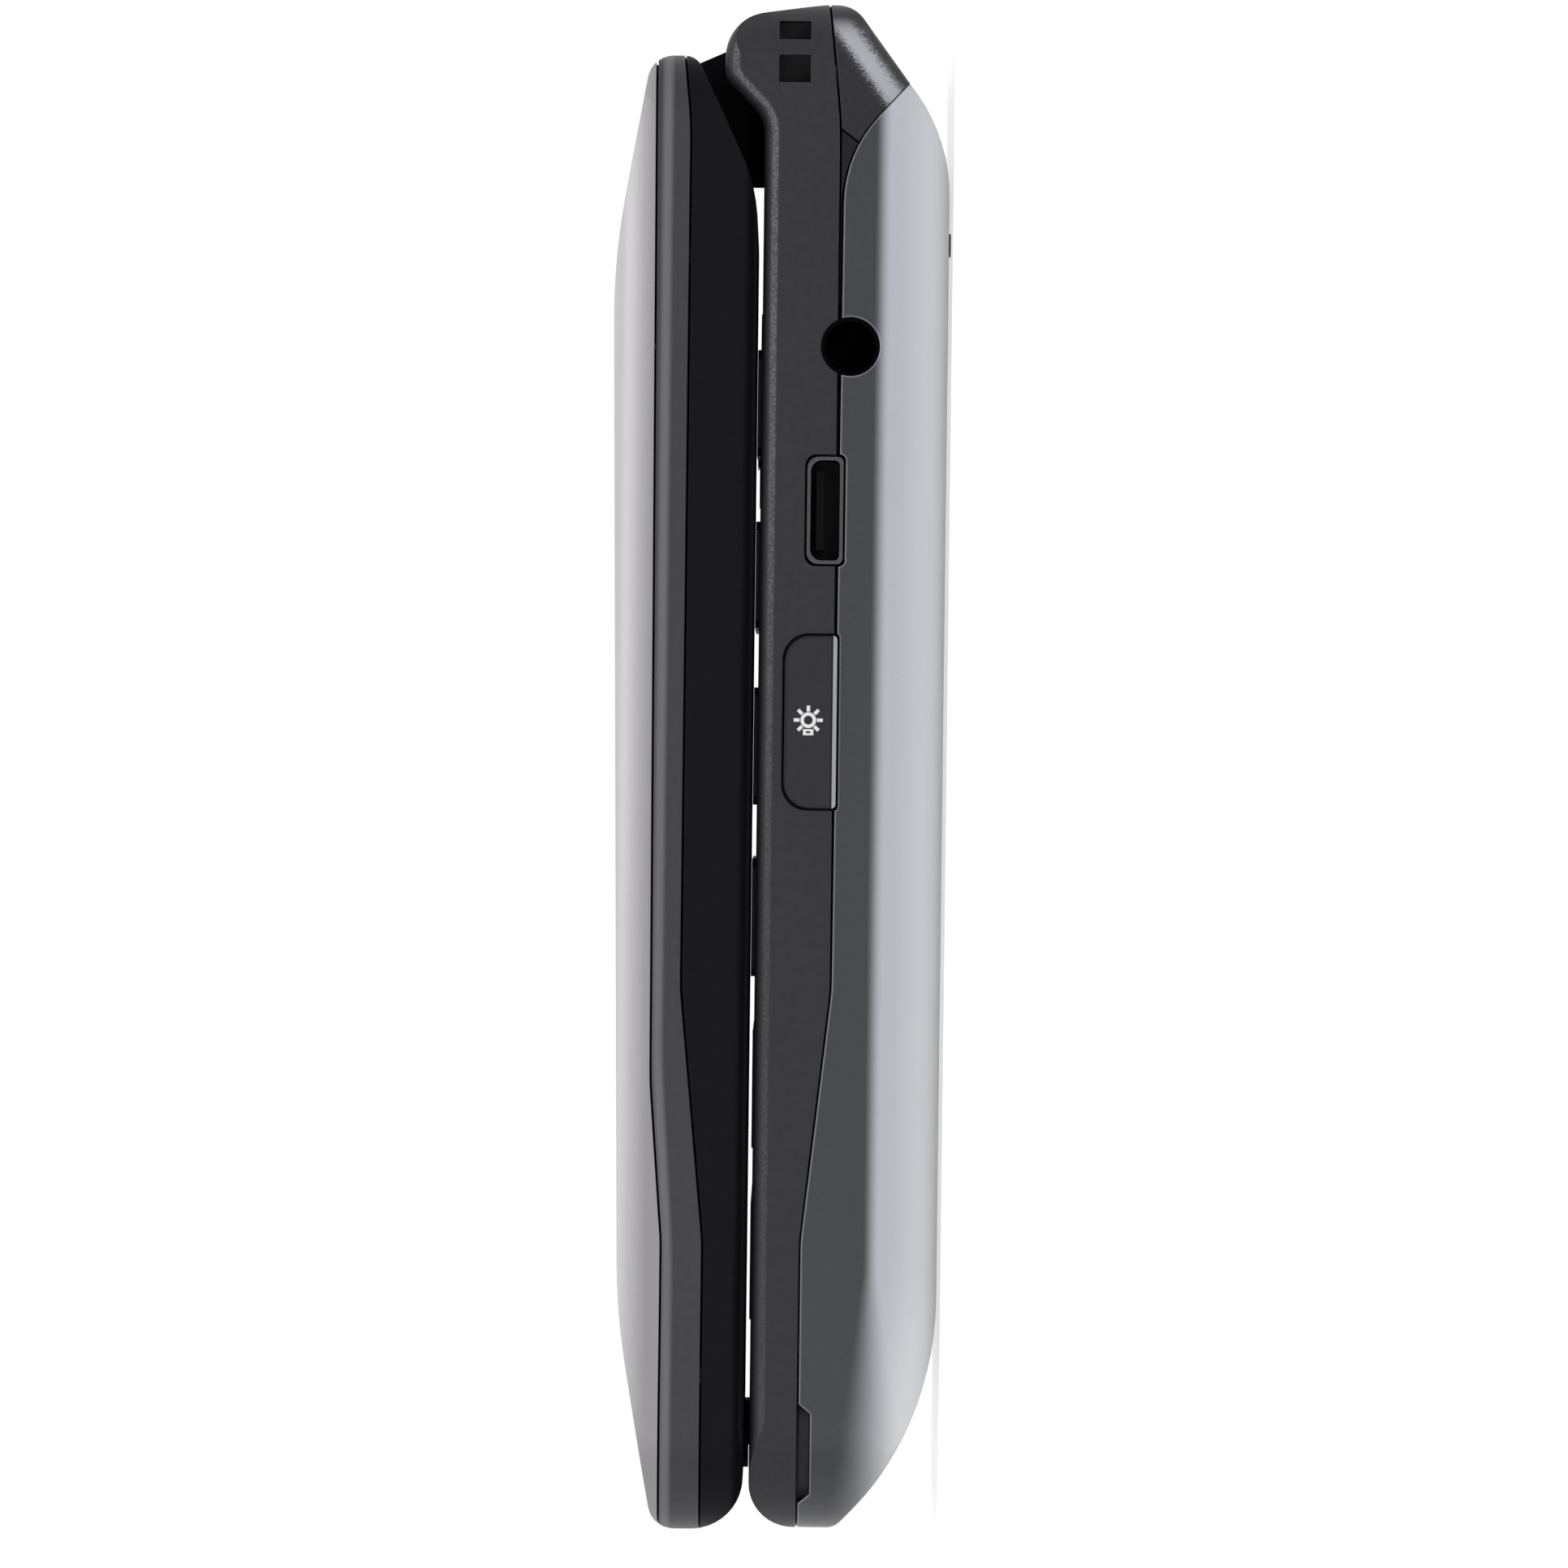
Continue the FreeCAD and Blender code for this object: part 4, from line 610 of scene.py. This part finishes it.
def handset(tilt):
    """A telephone handset: a bowed grip with a pad at each end."""
    bow, grip, reach, steps = 2.2, 0.6, 50, 10
    drop, pad_inset, pad_length, pad_width = 1.6, 0.35, 1.35, 0.9
    upright = 90 + tilt
    middle = around((0, 0), -drop, upright)
    angles = [upright - reach + 2 * reach * step / steps for step in range(steps + 1)]
    outer = [around(middle, bow + grip / 2, angle) for angle in angles]
    inner = [around(middle, bow - grip / 2, angle) for angle in reversed(angles)]
    outlines = [outer + inner]
    for angle in (upright - reach, upright + reach):
        outlines.append(bar(around(middle, bow - pad_inset, angle), pad_length, pad_width, angle))
    return outlines


def ring_arrows():
    """Four small triangles that point outwards from the navigation ring's middle."""
    ring, arrow = 5.25, 0.62
    outlines = []
    for turn in (0, 90, 180, 270):
        middle = around((0, 0), ring, turn)
        outlines.append([around(middle, arrow, turn + corner) for corner in (0, 120, 240)])
    return outlines


def key_signs():
    dash_length, dash_width = 3.6, 0.55
    spot_outer, spot_inner = 1.15, 0.85
    for text in "0123456789":
        key_number("key_" + text, text)
    key_number("key_star", "*")
    key_number("key_hash", "#")
    key_number("clear_key", "C")
    for side in ("left", "right"):
        key_sign(side + "_soft_key", [bar((0, 0), dash_length, dash_width)])
    key_sign("call_key", handset(45), green_print)
    key_sign("end_key", handset(0), red_print)
    key_sign("navigation_ring", ring_arrows())
    key_sign("centre_key", [circle(spot_outer), circle(spot_inner)])


# Dark lips that close the seams where the shells meet at the two ends, and the ledge in the nail notch

lip_thick = 0.12


def lip(name, outline, thick, place, body):
    cutout(name, [outline], thick, place, finishes["frame_black"], body)


def base_corner(start, inset, turn, end_inset=None):
    """Path from the base's side round its free corner, inset by a width that may change on the way."""
    side, end, radius, steps = 27.5, -53.3, 8.0, 9
    change = 0 if end_inset is None else end_inset - inset
    middle = (side - radius, end + radius)
    path = [(side - inset, start)]
    for step in range(steps + 1):
        share = step / steps
        path.append(around(middle, radius - inset - change * share, -turn * share))
    return path


def base_free_lips():
    start, height = -41.5, 9.875
    side_inset, end_inset, inner_inset = 0.7, 0.1, 2.1
    outer = base_corner(start, side_inset, 90, end_inset)
    inner = base_corner(start, inner_inset, 90)
    right = outer + [(0, outer[-1][1]), (0, inner[-1][1])] + inner[::-1]
    left = [(-u, v) for u, v in right]
    place = facing_up(0, 0, height * mm)
    lip("base_free_lip_right", right, lip_thick, place, "base")
    lip("base_free_lip_left", left, lip_thick, place, "base")


def notch_ledge():
    start, turn, outer_inset, inner_inset = -44.4, 54, 0.6, 1.2
    height, thick = 9.425, 0.78
    outline = base_corner(start, outer_inset, turn) + base_corner(start, inner_inset, turn)[::-1]
    place = facing_up(0, 0, height * mm)
    cutout("notch_ledge", [outline], thick, place, ledge_grey, "base")


def lid_free_lips():
    inner_half, inner_end = 24.0, -50.5
    inner = [(inner_half, inner_end), (-inner_half, inner_end)]
    for name, outer_half, outer_end, height in (
        ("lid_free_lip", 20.5, -53.4, 16.675),
        ("panel_free_lip", 20.0, -53.1, 19.575),
    ):
        outline = [(-outer_half, outer_end), (outer_half, outer_end)] + inner
        lip(name, outline, lip_thick, facing_up(0, 0, height * mm), "lid")


def hinge_lips():
    """Strips along the seams at the hinge end, each from one point (Y, Z) of its seam to another."""
    lid_width, barrel_width, barrel_middle = 44.0, 5.0, 20.5
    lid_seam = ((44.5, 18.36), (49.8, 18.859))
    panel_seam = ((45.0, 20.785), (49.25, 20.808))
    base_seam = ((49.5, 8.38), (53.42, 8.772))
    half = lip_thick / 2
    for name, body, seam, middle, width in (
        ("lid_hinge_lip", "lid", lid_seam, 0, lid_width),
        ("panel_hinge_lip", "lid", panel_seam, 0, lid_width),
        ("base_hinge_lip_right", "base", base_seam, barrel_middle, barrel_width),
        ("base_hinge_lip_left", "base", base_seam, -barrel_middle, barrel_width),
    ):
        lower = [(y, z - half) for y, z in seam]
        upper = [(y, z + half) for y, z in reversed(seam)]
        lip(name, lower + upper, width, facing_along(middle * mm), body)


# Floor, background and light

def make_floor():
    half_side, drop, patch, glow = 3.0, 0.02 * mm, 0.2, 0.6
    net = bmesh.new()
    bmesh.ops.create_grid(net, x_segments=1, y_segments=1, size=half_side)
    mesh = bpy.data.meshes.new("floor")
    net.to_mesh(mesh)
    net.free()
    floor = bpy.data.objects.new("floor", mesh)
    floor.location.z = cad_box[0][2] - drop
    bpy.context.collection.objects.link(floor)
    paint = Paint("floor_white", roughness=0.9, specular_ior_level=0.1)
    paint.set("Base Color", paint.shade(tone(242), tone(248), patch))
    paint.set("Emission Color", tone(255))
    path = paint.add("ShaderNodeLightPath").outputs
    mirrored = paint.math("MAXIMUM", path["Is Glossy Ray"], path["Is Transmission Ray"])
    shown = paint.math("MAXIMUM", path["Is Camera Ray"], mirrored)
    paint.set("Emission Strength", paint.math("MULTIPLY", shown, glow))
    dress(floor, paint.material)


def make_world():
    """White where it is seen. Mirrored light is dimmer from the photographed side, as in a dark room."""
    ambient, dim, dim_side = 0.42, 0.15, (0.1, 0.7)
    white = (1, 1, 1, 1)
    world = bpy.data.worlds.new("studio")
    world.use_nodes = True
    graph = Graph(world.node_tree)
    sky = graph.nodes["Background"]
    sky.inputs["Color"].default_value = tone(255)
    heading = graph.add("ShaderNodeTexCoord").outputs["Generated"]
    across = graph.add("ShaderNodeSeparateXYZ", {0: heading}).outputs["X"]
    mirrored = graph.mix(graph.ramp(across, *dim_side), white, (dim, dim, dim, 1))
    path = graph.add("ShaderNodeLightPath").outputs
    level = graph.mix(path["Is Glossy Ray"], (ambient, ambient, ambient, 1), mirrored)
    shown = graph.math("MAXIMUM", path["Is Camera Ray"], path["Is Transmission Ray"])
    graph.put(sky.inputs["Strength"], graph.mix(shown, level, white))
    bpy.context.scene.world = world


def soft_box(name, place, side, power):
    """A square lamp, in metres and watts, that points at the phone."""
    phone = Vector((0, 0, 0.01))
    lamp = bpy.data.lights.new(name, "AREA")
    lamp.shape = "RECTANGLE"
    lamp.size = side
    lamp.size_y = side
    lamp.energy = power
    lamp_object = bpy.data.objects.new(name, lamp)
    lamp_object.location = place
    lamp_object.rotation_euler = (phone - Vector(place)).to_track_quat("-Z", "Y").to_euler()
    bpy.context.collection.objects.link(lamp_object)


def make_lights():
    soft_box("key_light", (0.35, 0.15, 0.75), side=0.7, power=2.6)
    soft_box("fill_light", (0.9, -0.25, 0.35), side=0.6, power=2.0)
    soft_box("rim_light", (-0.5, 0.4, 0.6), side=0.5, power=1.0)


make_camera()
dress_nodes()
torch_sign()
key_signs()
base_free_lips()
notch_ledge()
lid_free_lips()
hinge_lips()
make_floor()
make_world()
make_lights()

bpy.context.scene.view_settings.view_transform = "Standard"
